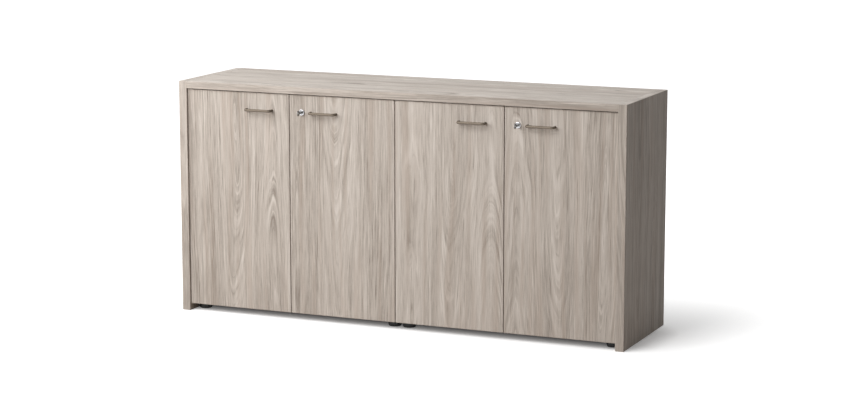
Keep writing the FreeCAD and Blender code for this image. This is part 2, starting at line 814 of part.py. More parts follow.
def lock_cam(name, door):
    """The flat cam on the plug's tail; at rest it points along the door, away from the strike."""
    x = lock_centre(door)
    start = plus(DOOR_BACK, "LockBarrelTail")
    hub = cylinder("cam_hub", "CamWidth / 2", "CamThickness", (x, start, HANDLE_LEVEL), "y")
    low = (x, start, less(HANDLE_LEVEL, "CamWidth / 2"))
    tongue = box("cam_tongue", low, ("CamReach", "CamThickness", "CamWidth"))
    cam = fuse(f"lock_cam_{name}", [hub, tongue])
    cam.Label = f"lock_cam_{name}"
    return cam


def key(name, door):
    """A flat key: blade in the keyway, round bow in front with a hole for a ring."""
    x = lock_centre(door)
    side = less(x, "KeyThickness / 2")
    bow_middle = less(DOOR_FACE, "(KeyReach - KeyBowRadius)")
    bow = cylinder("key_bow", "KeyBowRadius", "KeyThickness", (side, bow_middle, HANDLE_LEVEL), "x")
    hole_at = (side, less(bow_middle, "KeyBowRadius / 3"), HANDLE_LEVEL)
    hole = cylinder("key_hole", "KeyBowRadius / 3", "KeyThickness", hole_at, "x")
    blade_length = "(KeyReach - KeyBowRadius + KeyBladeLength - LockHeadProud)"
    low = (side, bow_middle, less(HANDLE_LEVEL, "KeyBladeHeight / 2"))
    blade = box("key_blade", low, ("KeyThickness", blade_length, "KeyBladeHeight"))
    result = cut(f"key_{name}", fuse("key_blank", [bow, blade]), hole)
    result.Label = f"key_{name}"
    return result


def strike_plates():
    """Angle plates under the carcass tops; a turned cam stands behind the hanging flange."""
    plates = []
    for door in DOORS.values():
        if not door["lock"]:
            continue
        left = less(lock_centre(door), "StrikeWidth / 2")
        flange_back = plus(DOOR_BACK, "LockBarrelTail - StrikeToCam")
        front = less(flange_back, "StrikeThickness")
        flange_low = (left, front, less(CEILING, "StrikeDrop"))
        flange = box("strike_flange", flange_low, ("StrikeWidth", "StrikeThickness", "StrikeDrop"))
        leaf_low = (left, front, less(CEILING, "StrikeThickness"))
        leaf = box("strike_leaf", leaf_low, ("StrikeWidth", "StrikeDrop", "StrikeThickness"))
        plates.append(fuse("strike_plate", [flange, leaf]))
    return group("strike_plates", plates)


# ---------------------------------------------------------------- hinges


class HingeFrame:
    """Turns a hinge's own distances, across and deep from the door's corner, into places."""

    def __init__(self, door, level):
        self.corner, self.sign = hinge_corner(door)
        self.level = level

    def x(self, across):
        return f"({self.corner} + {self.sign} * ({across}))"

    def y(self, deep):
        return plus(DOOR_FACE, deep)

    def pillar(self, name, radius, across, deep, width):
        """A round piece along z, centred on the hinge's level."""
        at = (self.x(across), self.y(deep), less(self.level, f"({width}) / 2"))
        return cylinder(name, radius, width, at)

    def block(self, name, across, deep, width):
        """A block between two distances across and two deep, centred on the hinge's level."""
        near = across[0] if self.sign == 1 else across[1]
        low = (self.x(near), self.y(deep[0]), less(self.level, f"({width}) / 2"))
        size = (f"({across[1]}) - ({across[0]})", f"({deep[1]}) - ({deep[0]})", width)
        return box(name, low, size)


def hinge_cup(door, level):
    """The pressed cup in the door's bore with its flange, and the pin that the link turns on."""
    frame = HingeFrame(door, level)
    x = frame.x("CupFromEdge")
    floor = "(DoorThickness - CupDepth)"
    shell = cylinder("cup_shell", "CupRadius", "CupDepth", (x, frame.y(floor), level), "y")
    rim = cylinder("cup_rim", "CupRadius + CupWall", "CupFlange", (x, DOOR_BACK, level), "y")
    wings = frame.block(
        "cup_wings",
        ("CupFromEdge + CupRadius / 4", "CupFromEdge + CupRadius"),
        ("DoorThickness", "DoorThickness + CupFlange"),
        "PlateWidth",
    )
    hollow_at = (x, frame.y(f"{floor} + CupWall"), level)
    hollow = cylinder("cup_hollow", "CupRadius - CupWall", "CupDepth + CupFlange", hollow_at, "y")
    shell_with_hollow = cut("cup_pressing", fuse("cup_blank", [shell, rim, wings]), hollow)
    chord = "(2 * sqrt(pow(CupRadius - CupWall / 2; 2) - pow(CupFromEdge - CupPinAcross; 2)))"
    pin = frame.pillar("cup_pin", "HingePinRadius", "CupPinAcross", "CupPinDeep", chord)
    return fuse("hinge_cup", [shell_with_hollow, pin])


# The link stands between the two cheeks of the arm's fork.
LINK_WIDTH = "(ArmWidth - 2 * CheekThickness)"

# The link's bow: an arc through both pins, its centre on the chord's upright bisector.
CHORD_X = "(ArmPinAcross - CupPinAcross)"
CHORD_Y = "(ArmPinDeep - CupPinDeep)"
CHORD = f"sqrt(pow({CHORD_X}; 2) + pow({CHORD_Y}; 2))"
BOW_RISE = f"sqrt(pow(LinkBowRadius; 2) - pow({CHORD} / 2; 2))"
BOW_ACROSS = f"((ArmPinAcross + CupPinAcross) / 2 - {BOW_RISE} * {CHORD_Y} / {CHORD})"
BOW_DEEP = f"((ArmPinDeep + CupPinDeep) / 2 + {BOW_RISE} * {CHORD_X} / {CHORD})"
BOW_SWEEP = f"(2 * asin({CHORD} / 2 / LinkBowRadius))"
BOW_MIDDLE = f"(-atan2({CHORD_X}; {CHORD_Y}))"


def bow_band(frame):
    """The curved band of a link, cut from a ring by its swept angle."""
    middle = (BOW_ACROSS, BOW_DEEP, LINK_WIDTH)
    outer = frame.pillar("bow_outer", "LinkBowRadius + LinkThickness / 2", *middle)
    inner = frame.pillar("bow_inner", "LinkBowRadius - LinkThickness / 2", *middle)
    if frame.sign == 1:
        start = f"{BOW_MIDDLE} - {BOW_SWEEP} / 2"
    else:
        start = f"180 deg - {BOW_MIDDLE} - {BOW_SWEEP} / 2"
    bind(outer, Angle=BOW_SWEEP, Placement__Rotation__Angle=start)
    return cut("bow_band", outer, inner)


def hinge_link(door, level):
    """The bowed link: an eye on the cup's pin, an eye on the arm's pin and the band between."""
    frame = HingeFrame(door, level)
    ends = (("CupPinAcross", "CupPinDeep"), ("ArmPinAcross", "ArmPinDeep"))
    eyes = [frame.pillar("link_eye", "EyeRadius", *end, LINK_WIDTH) for end in ends]
    holes = [frame.pillar("link_hole", "HingePinRadius + FitPlay", *end, LINK_WIDTH) for end in ends]
    blank = fuse("link_blank", [bow_band(frame), *eyes])
    return cut("hinge_link", blank, fuse("link_holes", holes))


def hinge_arm(door, level):
    """The arm on its plate: a fork that holds the link's pin in front of a solid body."""
    frame = HingeFrame(door, level)
    fork_gap = f"({LINK_WIDTH} + 4 * FitPlay)"
    fork_root = "(ArmPinDeep + EyeRadius + 3 * LinkThickness / 2)"
    near = "(ArmPinAcross - 2 * EyeRadius)"
    far = "(ArmPinAcross + EyeRadius + LinkThickness / 2)"
    pivot = ("ArmPinAcross", "ArmPinDeep")
    cheek = frame.pillar("arm_cheek", "EyeRadius + LinkThickness / 2", *pivot, "ArmWidth")
    stub = frame.block("arm_stub", (near, far), ("ArmPinDeep", fork_root), "ArmWidth")
    slot = frame.block(
        "arm_slot",
        ("ArmPinAcross - 4 * EyeRadius", "ArmPinAcross + 4 * EyeRadius"),
        ("ArmPinDeep - 4 * EyeRadius", fork_root),
        fork_gap,
    )
    fork = cut("arm_fork", fuse("arm_front", [cheek, stub]), slot)
    pin = frame.pillar("arm_pin", "HingePinRadius", *pivot, "ArmWidth")
    body_low = "(BoardThickness - DoorGap / 2 + PlateThickness)"
    body = frame.block("arm_body", (body_low, far), (fork_root, f"{fork_root} + ArmLength"), "ArmWidth")
    return fuse("hinge_arm", [fork, pin, body])


def hinge_plate(door, level):
    """The mounting plate on the carcass side under the arm, with its two screws."""
    frame = HingeFrame(door, level)
    face = "(BoardThickness - DoorGap / 2)"
    start = "(ArmPinDeep + EyeRadius + 3 * LinkThickness / 2 + ScrewHeadRadius)"
    wing_middle = "(DoorThickness + DoorStandoff + PinRowInset)"
    top = f"({face} + PlateThickness)"
    rail = frame.block("plate_rail", (face, top), (start, f"{start} + PlateLength"), "ArmWidth")
    wings = frame.block(
        "plate_wings",
        (face, top),
        (f"{wing_middle} - 2 * ScrewHeadRadius", f"{wing_middle} + 2 * ScrewHeadRadius"),
        "PlateWidth",
    )
    pieces = [rail, wings]
    for side in (-1, 1):
        z = f"({level} + {side} * PlateScrewPitch / 2)"
        x = frame.x(top) if frame.sign == 1 else frame.x(f"{top} + ScrewHeadThickness")
        at = (x, frame.y(wing_middle), z)
        pieces.append(cylinder("plate_screw", "ScrewHeadRadius", "ScrewHeadThickness", at, "x"))
    return fuse("hinge_plate", pieces)


# ---------------------------------------------------------------- assembly

subparts = [top_panel()]
subparts.append(end_panel("left_end_panel", "-UnitWidth - EndThickness", inwards_at_start=False))
subparts.append(end_panel("right_end_panel", "UnitWidth", inwards_at_start=True))

for unit, unit_left in UNITS.items():
    for hand in ("left", "right"):
        subparts.append(carcass_side(unit, hand, unit_left))
    subparts.append(carcass_plank(unit, unit_left, "bottom"))
    subparts.append(carcass_plank(unit, unit_left, "top"))
    subparts.append(carcass_back(unit, unit_left))
    subparts.append(carcass_shelf(unit, unit_left))

subparts.append(cam_fittings())
subparts.append(joining_bolts())
subparts.append(panel_screws())
subparts.append(shelf_pins())
subparts.append(strike_plates())
subparts.append(foot_sockets())
subparts.append(door_buffers())

foot_number = 0
for unit_left in UNITS.values():
    for x, y in foot_spots(unit_left):
        foot_number += 1
        subparts.append(foot(f"foot_{foot_number}", (x, y, "0")))

arms = []
plates = []
for index, door in DOORS.items():
    subparts.append(door_board(index, door))
    subparts.append(handle(index, door))
    subparts.append(handle_screws(index, door))
    subparts.append(group(f"hinge_cups_{index}", [hinge_cup(door, level) for level in HINGE_LEVELS]))
    subparts.append(group(f"hinge_links_{index}", [hinge_link(door, level) for level in HINGE_LEVELS]))
    arms.extend(hinge_arm(door, level) for level in HINGE_LEVELS)
    plates.extend(hinge_plate(door, level) for level in HINGE_LEVELS)
    if door["lock"]:
        for piece in (lock_housing, lock_plug, lock_cam, key):
            subparts.append(piece(door["lock"], door))
subparts.append(group("hinge_arms", arms))
subparts.append(group("hinge_plates", plates))

doc.recompute()

for item in doc.Objects:
    if "Invalid" in item.State or "Error" in item.State:
        raise RuntimeError(f"{item.Label} did not build: {item.State}")
    if item.TypeId == "PartDesign::Pocket":
        if item.Shape.Volume >= item.BaseFeature.Shape.Volume:
            raise RuntimeError(f"{item.Label} cuts nothing")

for item in subparts:
    if item.Shape.isNull() or not item.Shape.isValid():
        raise RuntimeError(f"{item.Label} has no valid shape")

os.makedirs("parts", exist_ok=True)
for item in subparts:
    item.Shape.exportStep(f"parts/{item.Label}.step")
    print(item.Label, len(item.Shape.Solids), round(item.Shape.Volume))
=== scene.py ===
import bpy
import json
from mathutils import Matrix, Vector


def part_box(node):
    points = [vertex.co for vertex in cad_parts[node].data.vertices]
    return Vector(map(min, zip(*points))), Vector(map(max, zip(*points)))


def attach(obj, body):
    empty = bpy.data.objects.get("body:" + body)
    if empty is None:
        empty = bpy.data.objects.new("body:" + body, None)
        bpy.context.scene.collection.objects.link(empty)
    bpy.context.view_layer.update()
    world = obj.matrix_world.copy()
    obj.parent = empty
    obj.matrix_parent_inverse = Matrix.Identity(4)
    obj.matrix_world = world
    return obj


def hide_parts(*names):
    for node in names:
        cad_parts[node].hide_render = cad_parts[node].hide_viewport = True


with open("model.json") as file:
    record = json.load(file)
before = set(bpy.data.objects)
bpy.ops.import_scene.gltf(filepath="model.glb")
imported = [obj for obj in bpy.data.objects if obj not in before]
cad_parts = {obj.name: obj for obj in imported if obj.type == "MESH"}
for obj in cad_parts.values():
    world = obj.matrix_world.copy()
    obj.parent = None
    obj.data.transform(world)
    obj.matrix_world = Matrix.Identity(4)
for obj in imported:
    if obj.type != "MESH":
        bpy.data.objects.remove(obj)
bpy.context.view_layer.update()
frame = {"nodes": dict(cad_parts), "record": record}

import json
import math
from functools import partial

import bmesh
import bpy
from bpy.props import FloatProperty, FloatVectorProperty, IntProperty, PointerProperty
from mathutils import Matrix, Vector

bl_info = {
    "name": "Office Credenza Looks",
    "version": (1, 0, 0),
    "blender": (4, 5, 0),
    "location": "3D View > Sidebar > Credenza",
    "description": "Dresses a credenza: elm boards, nickel handles, locks, keys, feet, fittings",
    "category": "Object",
}

MM = 0.001
# Corners nearer to one another than this are one corner.
WELD = 1e-6
# Edges that bend by more than this stay crisp.
SHARP = math.radians(35)


def linear(text):
    """An sRGB hex colour as linear red, green and blue with full alpha."""
    levels = [int(text[start:start + 2], 16) / 255 for start in (1, 3, 5)]
    return [
        level / 12.92 if level <= 0.04045 else ((level + 0.055) / 1.055) ** 2.4 for level in levels
    ] + [1.0]


def colour(name, description, default):
    """A colour property that starts from an sRGB hex value."""
    return FloatVectorProperty(
        name=name, description=description, default=linear(default), size=4, subtype="COLOR",
        min=0, max=1,
    )


def length(name, description, millimetres):
    """A length property that starts from a size in millimetres."""
    return FloatProperty(
        name=name, description=description, default=millimetres * MM, unit="LENGTH", min=0,
        precision=5,
    )


def amount(name, description, default, most=1000):
    """A plain number property."""
    return FloatProperty(name=name, description=description, default=default, min=0, max=most)


# ---------------------------------------------------------------- sizes and colours


class CredenzaDecor(bpy.types.PropertyGroup):
    """The printed elm decor of the boards."""

    light: colour("Light wood", "The palest streaks between the growth rings", "#D9D1C9")
    middle: colour("Middle wood", "The tone of most of the decor", "#C4BBB2")
    dark: colour("Dark wood", "The late wood and the darkest streaks", "#9A9087")
    warm: colour("Warm wood", "The pinkish brown bands", "#B2A295")
    seam: colour("Band seam", "The glue line between a face and its edge band", "#75695F")
    plank: length("Plank width", "How wide a printed plank is, on average", 150)
    ring: length("Ring spacing", "The distance between growth rings", 10)
    swell: length("Ring swell", "How far the rings wave along a board", 30)
    fibre: length("Fibre spacing", "The width of the fine fibres", 1.2)
    band: length("Edge band", "The thickness of the edge band", 2)
    roughness: amount("Roughness", "How matt the melamine face is", 0.52, most=1)


class CredenzaMetal(bpy.types.PropertyGroup):
    """The metal finishes."""

    satin: colour("Satin nickel", "The handles", "#6A6157")
    chrome: colour("Chrome", "The lock's barrel and plug", "#A9A9AB")
    key: colour("Key nickel", "The keys", "#7F7D7A")
    pressed: colour("Pressed steel", "The hinges", "#C4C3C0")
    plated: colour("Zinc plate", "Screws, bolts, pins and strikes", "#9A9DA0")
    cast: colour("Cast zinc", "The cam locks that join the boards", "#8E9092")


class CredenzaPlastic(bpy.types.PropertyGroup):
    """The plastic finishes and the shape of the feet."""

    black: colour("Black plastic", "The feet and their sockets", "#1B1B1C")
    buffer: colour("Buffer plastic", "The soft door buffers", "#D9D8D0")
    notches: IntProperty(
        name="Foot notches", description="Grip notches round a foot", default=12, min=3
    )
    notch_depth: length("Notch depth", "How deep a grip notch is", 0.9)


class CredenzaFittings(bpy.types.PropertyGroup):
    """The screw heads and the hinge arms."""

    recess: length("Recess depth", "How deep the cross recess of a screw is", 0.8)
    cover: length("Arm wall", "How far the pressed arm stands over its core", 1.2)
    arm_length: length("Arm length", "The straight part of a hinge arm", 50)
    arm_edge: length("Arm edge", "The rounding of a pressed arm's long edges", 2.2)
    cup_screw_pitch: length("Cup screw pitch", "The distance between the screws of a cup", 45)
    plate_screw_pitch: length("Plate screw pitch", "The distance between a plate's screws", 32)


class CredenzaStage(bpy.types.PropertyGroup):
    """The floor, the lamps and the camera."""

    floor: colour("Floor", "What lamps and boards see of the floor", "#978A7E")
    key_power: amount("Key light", "The large lamp at the front left", 128)
    side_power: amount("Side light", "The lamp at the left", 60)
    top_power: amount("Top light", "The soft lamp overhead", 16)
    sky: amount("Surround", "The level of the even studio light", 0.2)
    lens: amount("Lens", "The camera's focal length in millimetres", 98.27)


SETTINGS = {
    "credenza_decor": CredenzaDecor,
    "credenza_metal": CredenzaMetal,
    "credenza_plastic": CredenzaPlastic,
    "credenza_fittings": CredenzaFittings,
    "credenza_stage": CredenzaStage,
}


# ---------------------------------------------------------------- materials


def add(tree, kind, *terms, links=None, stops=(), **settings):
    """Adds a shader node and returns its output, or the node itself where it has several.

    A second word in kind is the node's operation. Terms feed its sockets in order and links
    feeds them by name or number; a term or link is a value or another node's output. Stops
    are the places and shades of a colour ramp.
    """
    kind, *operation = kind.split()
    made = tree.nodes.new("ShaderNode" + kind)
    if operation:
        made.operation = operation[0]
    for name, value in settings.items():
        setattr(made, name, value)
    for socket, value in {**dict(enumerate(terms)), **(links or {})}.items():
        if isinstance(value, bpy.types.NodeSocket):
            tree.links.new(value, made.inputs[socket])
        else:
            made.inputs[socket].default_value = value
    for index, (place, shade) in enumerate(stops):
        ramp = made.color_ramp.elements
        stop = ramp[index] if index < 2 else ramp.new(place)
        stop.position, stop.color = place, shade
    useful = [output for output in made.outputs if output.enabled]
    return useful[0] if len(useful) == 1 else made


def blank(name):
    """A new material with its empty node tree."""
    material = bpy.data.materials.new(name)
    material.use_nodes = True
    material.node_tree.nodes.clear()
    return material, material.node_tree


def finish(tree, links):
    """Ends a material in one Principled shader."""
    add(tree, "OutputMaterial", add(tree, "BsdfPrincipled", links=links))


def grey(level):
    """A grey as four numbers, for the stops of a ramp that shapes a value."""
    return [level, level, level, 1]


FIGURE_INPUTS = (
    "Across", "Along", "Half across", "Half along", "Edge across", "Edge along", "Seed", "Turn",
)


def elm_figure(look):
    """The printed elm figure: planks with growth rings, streaks, fibres, pores and a band seam."""
    tree = bpy.data.node_groups.new("elm_figure", "ShaderNodeTree")
    for name in FIGURE_INPUTS:
        tree.interface.new_socket(name, in_out="INPUT", socket_type="NodeSocketFloat")
    for name, kind in (("Colour", "Color"), ("Roughness", "Float"), ("Height", "Float")):
        tree.interface.new_socket(name, in_out="OUTPUT", socket_type="NodeSocket" + kind)
    given = tree.nodes.new("NodeGroupInput").outputs
    seed, across, along, on_edge = (given[name] for name in ("Seed", "Across", "Along", "Turn"))
    put = partial(add, tree)

    def swing(value, size):
        """A value from 0 to 1, turned into one that swings by a size about zero."""
        return put("Math MULTIPLY_ADD", value, size, -size / 2)

    def patches(source, width, reach, detail, shift):
        """Noise in patches so many millimetres wide and long; shift sets each noise apart."""
        place = put(
            "CombineXYZ", put("Math DIVIDE", source, width), put("Math DIVIDE", along, reach),
            put("Math MULTIPLY", seed, shift),
        )
        links = {"Vector": place, "Scale": 1, "Detail": detail, "Roughness": 0.55}
        return put("TexNoise", links=links).outputs["Fac"]

    # The grain wanders a few millimetres to the side as it runs up the board.
    wander = swing(patches(across, 200, 800, 1, 1.7), 50)
    grain = put("Math ADD", across, wander)

    # Printed planks of uneven width; each has its own ring centre, depth and lean.
    plank = look.plank / MM
    planks_per_seed = 3.71
    spot = put("Math MULTIPLY_ADD", seed, planks_per_seed, put("Math DIVIDE", across, plank))
    links = {"W": spot, "Scale": 1, "Randomness": 0.8}
    cell = put("TexVoronoi", links=links, voronoi_dimensions="1D").outputs
    chance = put("SeparateColor", cell["Color"]).outputs
    beside = put("Math MULTIPLY", put("Math SUBTRACT", spot, cell["W"]), plank)
    off_centre = swing(chance[0], 0.7 * plank)
    sideways = put("Math ADD", put("Math ADD", beside, wander), off_centre)

    # Rings seen on a plank sawn a little off the trunk's axis: nested arches in the middle and
    # straight lines at its sides. Level is the distance from the trunk's axis.
    lean = swing(chance[1], 0.16)
    rise = put("Math MULTIPLY_ADD", chance[2], 90, -20)
    sway = put("Math MULTIPLY", patches(across, 300, 520, 1, 4.3), look.swell / MM)
    depth = put("Math ADD", put("Math MULTIPLY_ADD", along, lean, rise), sway)
    squares = put("Math ADD", put("Math POWER", sideways, 2), put("Math POWER", depth, 2))
    radius = put("Math SQRT", squares)
    broad = put("Math MULTIPLY_ADD", patches(across, 60, 650, 1, 2.3), 18, radius)
    ripple = put("Math MULTIPLY", patches(across, 9, 200, 1, 5.9), 2)
    level = put("Math ADD", broad, ripple)
    ring = put("Math FRACT", put("Math DIVIDE", level, look.ring / MM))
    ring_shape = (
        (0.0, grey(0.5)), (1.0, grey(0.5)), (0.24, grey(0.92)), (0.5, grey(0.55)),
        (0.82, grey(0.14)),
    )
    late = put("ValToRGB", ring, stops=ring_shape)
    late.color_ramp.interpolation = "EASE"
    strength = put("MapRange", links={
        "Value": patches(grain, 40, 260, 2, 6.1), "From Min": 0.4, "From Max": 0.75,
        "To Min": 0.15,
    })

    # From broad bands down to single fibres; the streaks run with the rings. Threads and fibres
    # are a little coarser than the print's own, which would be too fine to show.
    bands = patches(grain, 42, 1100, 2, 3.1)
    streaks = patches(level, 7, 260, 2, 7.7)
    threads = patches(grain, 3.2, 140, 3, 12.7)
    fibre = look.fibre / MM
    fibres = patches(grain, fibre, 36 * fibre, 2, 8.9)
    flecks = patches(across, 4, 2.5, 1, 15.1)

    # Crisp lines along the rings, where a smooth noise passes a level: pale ones where early
    # wood was cut thin, finer dark ones between.
    veins = patches(level, 6, 420, 2, 13.9)
    pale, deep = (
        put("MapRange", links={
            "Value": put("Math ABSOLUTE", put("Math SUBTRACT", veins, place)),
            "From Max": half_width, "To Min": contrast, "To Max": 0.0,
        })
        for place, half_width, contrast in ((0.53, 0.05, 0.48), (0.41, 0.035, 0.34))
    )

    # The tone runs from 0, the darkest wood, to 1, the palest.
    tone = put("Math MULTIPLY_ADD", bands, 0.8, 0.06)
    for pattern, contrast in ((streaks, 0.42), (threads, 0.84), (flecks, 0.16)):
        tone = put("Math ADD", tone, swing(pattern, contrast))
    tone = put("Math MULTIPLY_ADD", put("Math SUBTRACT", pale, deep), strength, tone)
    tone = put("Math ADD", tone, swing(fibres, 0.72))
    off_middle = put("Math SUBTRACT", late.outputs[0], 0.5)
    rings = put("Math MULTIPLY", off_middle, put("Math MULTIPLY", strength, 0.42))
    tone = put("Math ADD", tone, rings)
    tone = put("Math ADD", tone, swing(chance[2], 0.14))
    # The tone is a step darker on the edge bands than on the faces.
    tone = put("Math MULTIPLY_ADD", on_edge, -0.1, tone)
    shades = ((0.1, look.dark), (0.92, look.light), (0.5, look.middle))
    wood = put("ValToRGB", tone, stops=shades).outputs[0]

    # Pinkish brown bands, and pores as short dark dashes in the darker wood.
    blush = put("MapRange", links={
        "Value": patches(grain, 24, 900, 1, 9.7), "From Min": 0.5, "From Max": 0.7, "To Max": 0.4,
    })
    dashes = put("MapRange", links={
        "Value": patches(grain, 0.45, 9, 1, 10.3), "From Min": 0.6, "From Max": 0.7,
    })
    openness = put("Math SUBTRACT", 1.15, put("Math MULTIPLY", tone, 1.3), use_clamp=True)
    pores = put("Math MULTIPLY", dashes, openness)

    # The seam of the edge band is a hairline just inside the rim of each face; the rim is worn.
    to_side = put("Math SUBTRACT", given["Half across"], put("Math ABSOLUTE", given["Edge across"]))
    to_end = put("Math SUBTRACT", given["Half along"], put("Math ABSOLUTE", given["Edge along"]))
    rim = put("Math MINIMUM", to_side, to_end)
    half_seam = 0.14
    line = put("Math COMPARE", rim, look.band / MM, half_seam)
    line = put("Math MULTIPLY", line, put("Math SUBTRACT", 1, on_edge))
    worn = put("MapRange", links={"Value": rim, "From Min": 1.2, "From Max": 0.0, "To Max": 0.35})
    layers = (
        (blush, look.warm),
        (put("Math MULTIPLY", pores, 0.4), look.dark),
        (put("Math MULTIPLY", line, 0.6), look.seam),
        (put("Math MULTIPLY", worn, streaks), look.light),
    )
    for share, shade in layers:
        wood = put("Mix", links={0: share, 6: wood, 7: shade}, data_type="RGBA")

    # Pores scatter more; hands polish the face unevenly.
    touched = put("Math MULTIPLY", patches(across, 70, 90, 2, 11.9), 0.1)
    rough = put("Math ADD", look.roughness - 0.05, touched)
    rough = put("Math MULTIPLY_ADD", pores, 0.18, rough)
    sunk = put("Math ADD", pores, line)
    height = put("Math SUBTRACT", put("Math MULTIPLY", fibres, 0.5), sunk)
    leave = tree.nodes.new("NodeGroupOutput")
    for name, source in (("Colour", wood), ("Roughness", rough), ("Height", height)):
        tree.links.new(source, leave.inputs[name])
    return tree


def elm_board(figure, node, seed):
    """Melamine-faced chipboard with a printed elm decor: matt, with fine pores pressed in.

    The grain runs along the board on its faces and along each edge band, as on a real board.
    """
    low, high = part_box(node)
    size = (high - low) / MM
    middle = (high + low) / 2
    face = min(range(3), key=lambda axis: size[axis])
    grain = 0 if face == 2 else 2
    across = 3 - face - grain
    material, tree = blank(f"elm_melamine_{node}")
    put = partial(add, tree)
    spot = put("TexCoord").outputs
    place = put("Mapping", links={
        "Vector": spot["Object"], "Location": [-part / MM for part in middle],
        "Scale": [1 / MM] * 3,
    })
    place = put("SeparateXYZ", place).outputs
    facing = put("SeparateXYZ", spot["Normal"]).outputs
    # 1 on the edge bands at the board's sides, and on those at its ends.
    sideways, endways = (
        put("Math SUBTRACT", 1, put("Math COMPARE", facing[axis], 0, 0.7))
        for axis in (across, grain)
    )
    on_edge = put("Math MAXIMUM", sideways, endways)
    over = put("Mix", links={0: on_edge, 2: place[across], 3: place[face]})
    along = put("Mix", links={0: endways, 2: place[grain], 3: place[across]})
    # Each of the board's six faces shows another stretch of the decor.
    shown = put("Math MULTIPLY_ADD", facing[face], 0.4, seed + 0.5)
    shown = put("Math MULTIPLY_ADD", facing[across], 0.3, shown)
    printed = put("Group", node_tree=figure, links={
        "Half across": size[across] / 2, "Half along": size[grain] / 2,
        "Across": over, "Along": along, "Edge across": place[across],
        "Edge along": place[grain], "Seed": shown, "Turn": on_edge,
    }).outputs
    bump = put("Bump", links={
        "Strength": 0.35, "Distance": 0.12 * MM, "Height": printed["Height"],
    })
    finish(tree, {
        "Base Color": printed["Colour"], "Roughness": printed["Roughness"], "Normal": bump,
        "IOR": 1.5, "Specular IOR Level": 0.1,
    })
    return material


def fine_finish(name, shade, grain, tint, roughness, relief, **sockets):
    """A finish whose tone, gloss and surface vary with a fine grain and with handling marks.

    grain is the size of the grain in millimetres along x, y and z; tint is how far its tone
    varies, roughness the lowest and highest roughness, relief the grain's depth in millimetres.
    Brush lines, plating and moulded skins are drawn a few times coarser than the real ones,
    which would be too fine to show.
    """
    mark = 14 * MM
    material, tree = blank(name)
    put = partial(add, tree)
    place = put("TexCoord").outputs["Object"]
    scaled = put("Mapping", links={
        "Vector": place, "Scale": [1 / (size * MM) for size in grain],
    })
    links = {"Vector": scaled, "Scale": 1, "Detail": 3}
    grains = put("TexNoise", links=links).outputs["Fac"]
    links = {"Vector": place, "Scale": 1 / mark, "Detail": 2}
    marks = put("TexNoise", links=links).outputs["Fac"]
    mixed = put("MapRange", links={
        "Value": put("Math ADD", grains, marks), "From Min": 0.6, "From Max": 1.4,
    })
    dark = [part * (1 - tint) for part in shade[:3]] + [1]
    light = [min(1, part * (1 + tint)) for part in shade[:3]] + [1]
    tone = put("Mix", links={0: mixed, 6: dark, 7: light}, data_type="RGBA")
    lowest, highest = roughness
    gloss = put("MapRange", links={"Value": mixed, "To Min": lowest, "To Max": highest})
    bump = put("Bump", links={"Strength": 1, "Distance": relief * MM, "Height": grains})
    finish(tree, {"Base Color": tone, "Roughness": gloss, "Normal": bump, **sockets})
    return material


def finishes(scene):
    """Every finish but the boards', by the record's slot; made once and then found again."""
    metal, plastic = scene.credenza_metal, scene.credenza_plastic
    metallic = {"Metallic": 1}
    recipes = {
        # Brushed along the bar under a thin lacquer: soft, stretched highlights, darker ends.
        "satin_nickel": ("brushed_satin_nickel", metal.satin, (28, 0.35, 0.35), 0.10,
                         (0.54, 0.66), 0.004, metallic),
        # Polished chrome on cast zinc: near mirror, with faint wipe marks.
        "chrome": ("polished_chrome", metal.chrome, (2.5, 2.5, 2.5), 0.03,
                   (0.06, 0.16), 0.0008, metallic),
        # Nickel plate on a stamped brass key, dulled by handling and pocket scratches.
        "nickel_key": ("stamped_nickel_brass", metal.key, (0.5, 6, 0.5), 0.08,
                       (0.18, 0.38), 0.003, metallic),
        # Nickel plate on pressed steel: even and bright, with a slight orange-peel.
        "nickel_steel": ("nickel_plated_sheet", metal.pressed, (1.6, 1.6, 1.6), 0.05,
                         (0.20, 0.32), 0.003, metallic),
        # Zinc plate, passivated: cool grey, cloudy and half matt.
        "plated_steel": ("zinc_plated_steel", metal.plated, (1.2, 1.2, 1.2), 0.12,
                         (0.30, 0.46), 0.004, metallic),
        # Raw die-cast zinc: dull grey with a sandy skin.
        "zinc": ("die_cast_zinc", metal.cast, (0.6, 0.6, 0.6), 0.12,
                 (0.42, 0.60), 0.010, metallic),
        # Moulded ABS with a spark-eroded texture: near black, with a broad dull highlight.
        "black_plastic": ("moulded_black_abs", plastic.black, (0.5, 0.5, 0.5), 0.25,
                          (0.42, 0.58), 0.020, {"IOR": 1.53}),
        # Soft clear polyurethane, a little milky from dust.
        "clear_soft_plastic": ("cast_polyurethane", plastic.buffer, (1.0, 1.0, 1.0), 0.04,
                               (0.25, 0.40), 0.006, {"IOR": 1.5, "Transmission Weight": 0.45}),
    }
    made = {}
    for slot, (name, *recipe, sockets) in recipes.items():
        made[slot] = bpy.data.materials.get(name) or fine_finish(name, *recipe, **sockets)
    return made


def assign(node, material):
    """Gives a CAD node its material."""
    mesh = frame["nodes"][node].data
    mesh.materials.clear()
    mesh.materials.append(material)


# ---------------------------------------------------------------- mesh helpers


def towards(centre, direction):
    """A placement whose own z runs along a direction, at a centre."""
    turn = Vector(direction).to_track_quat("Z", "Y").to_matrix().to_4x4()
    return Matrix.Translation(centre) @ turn


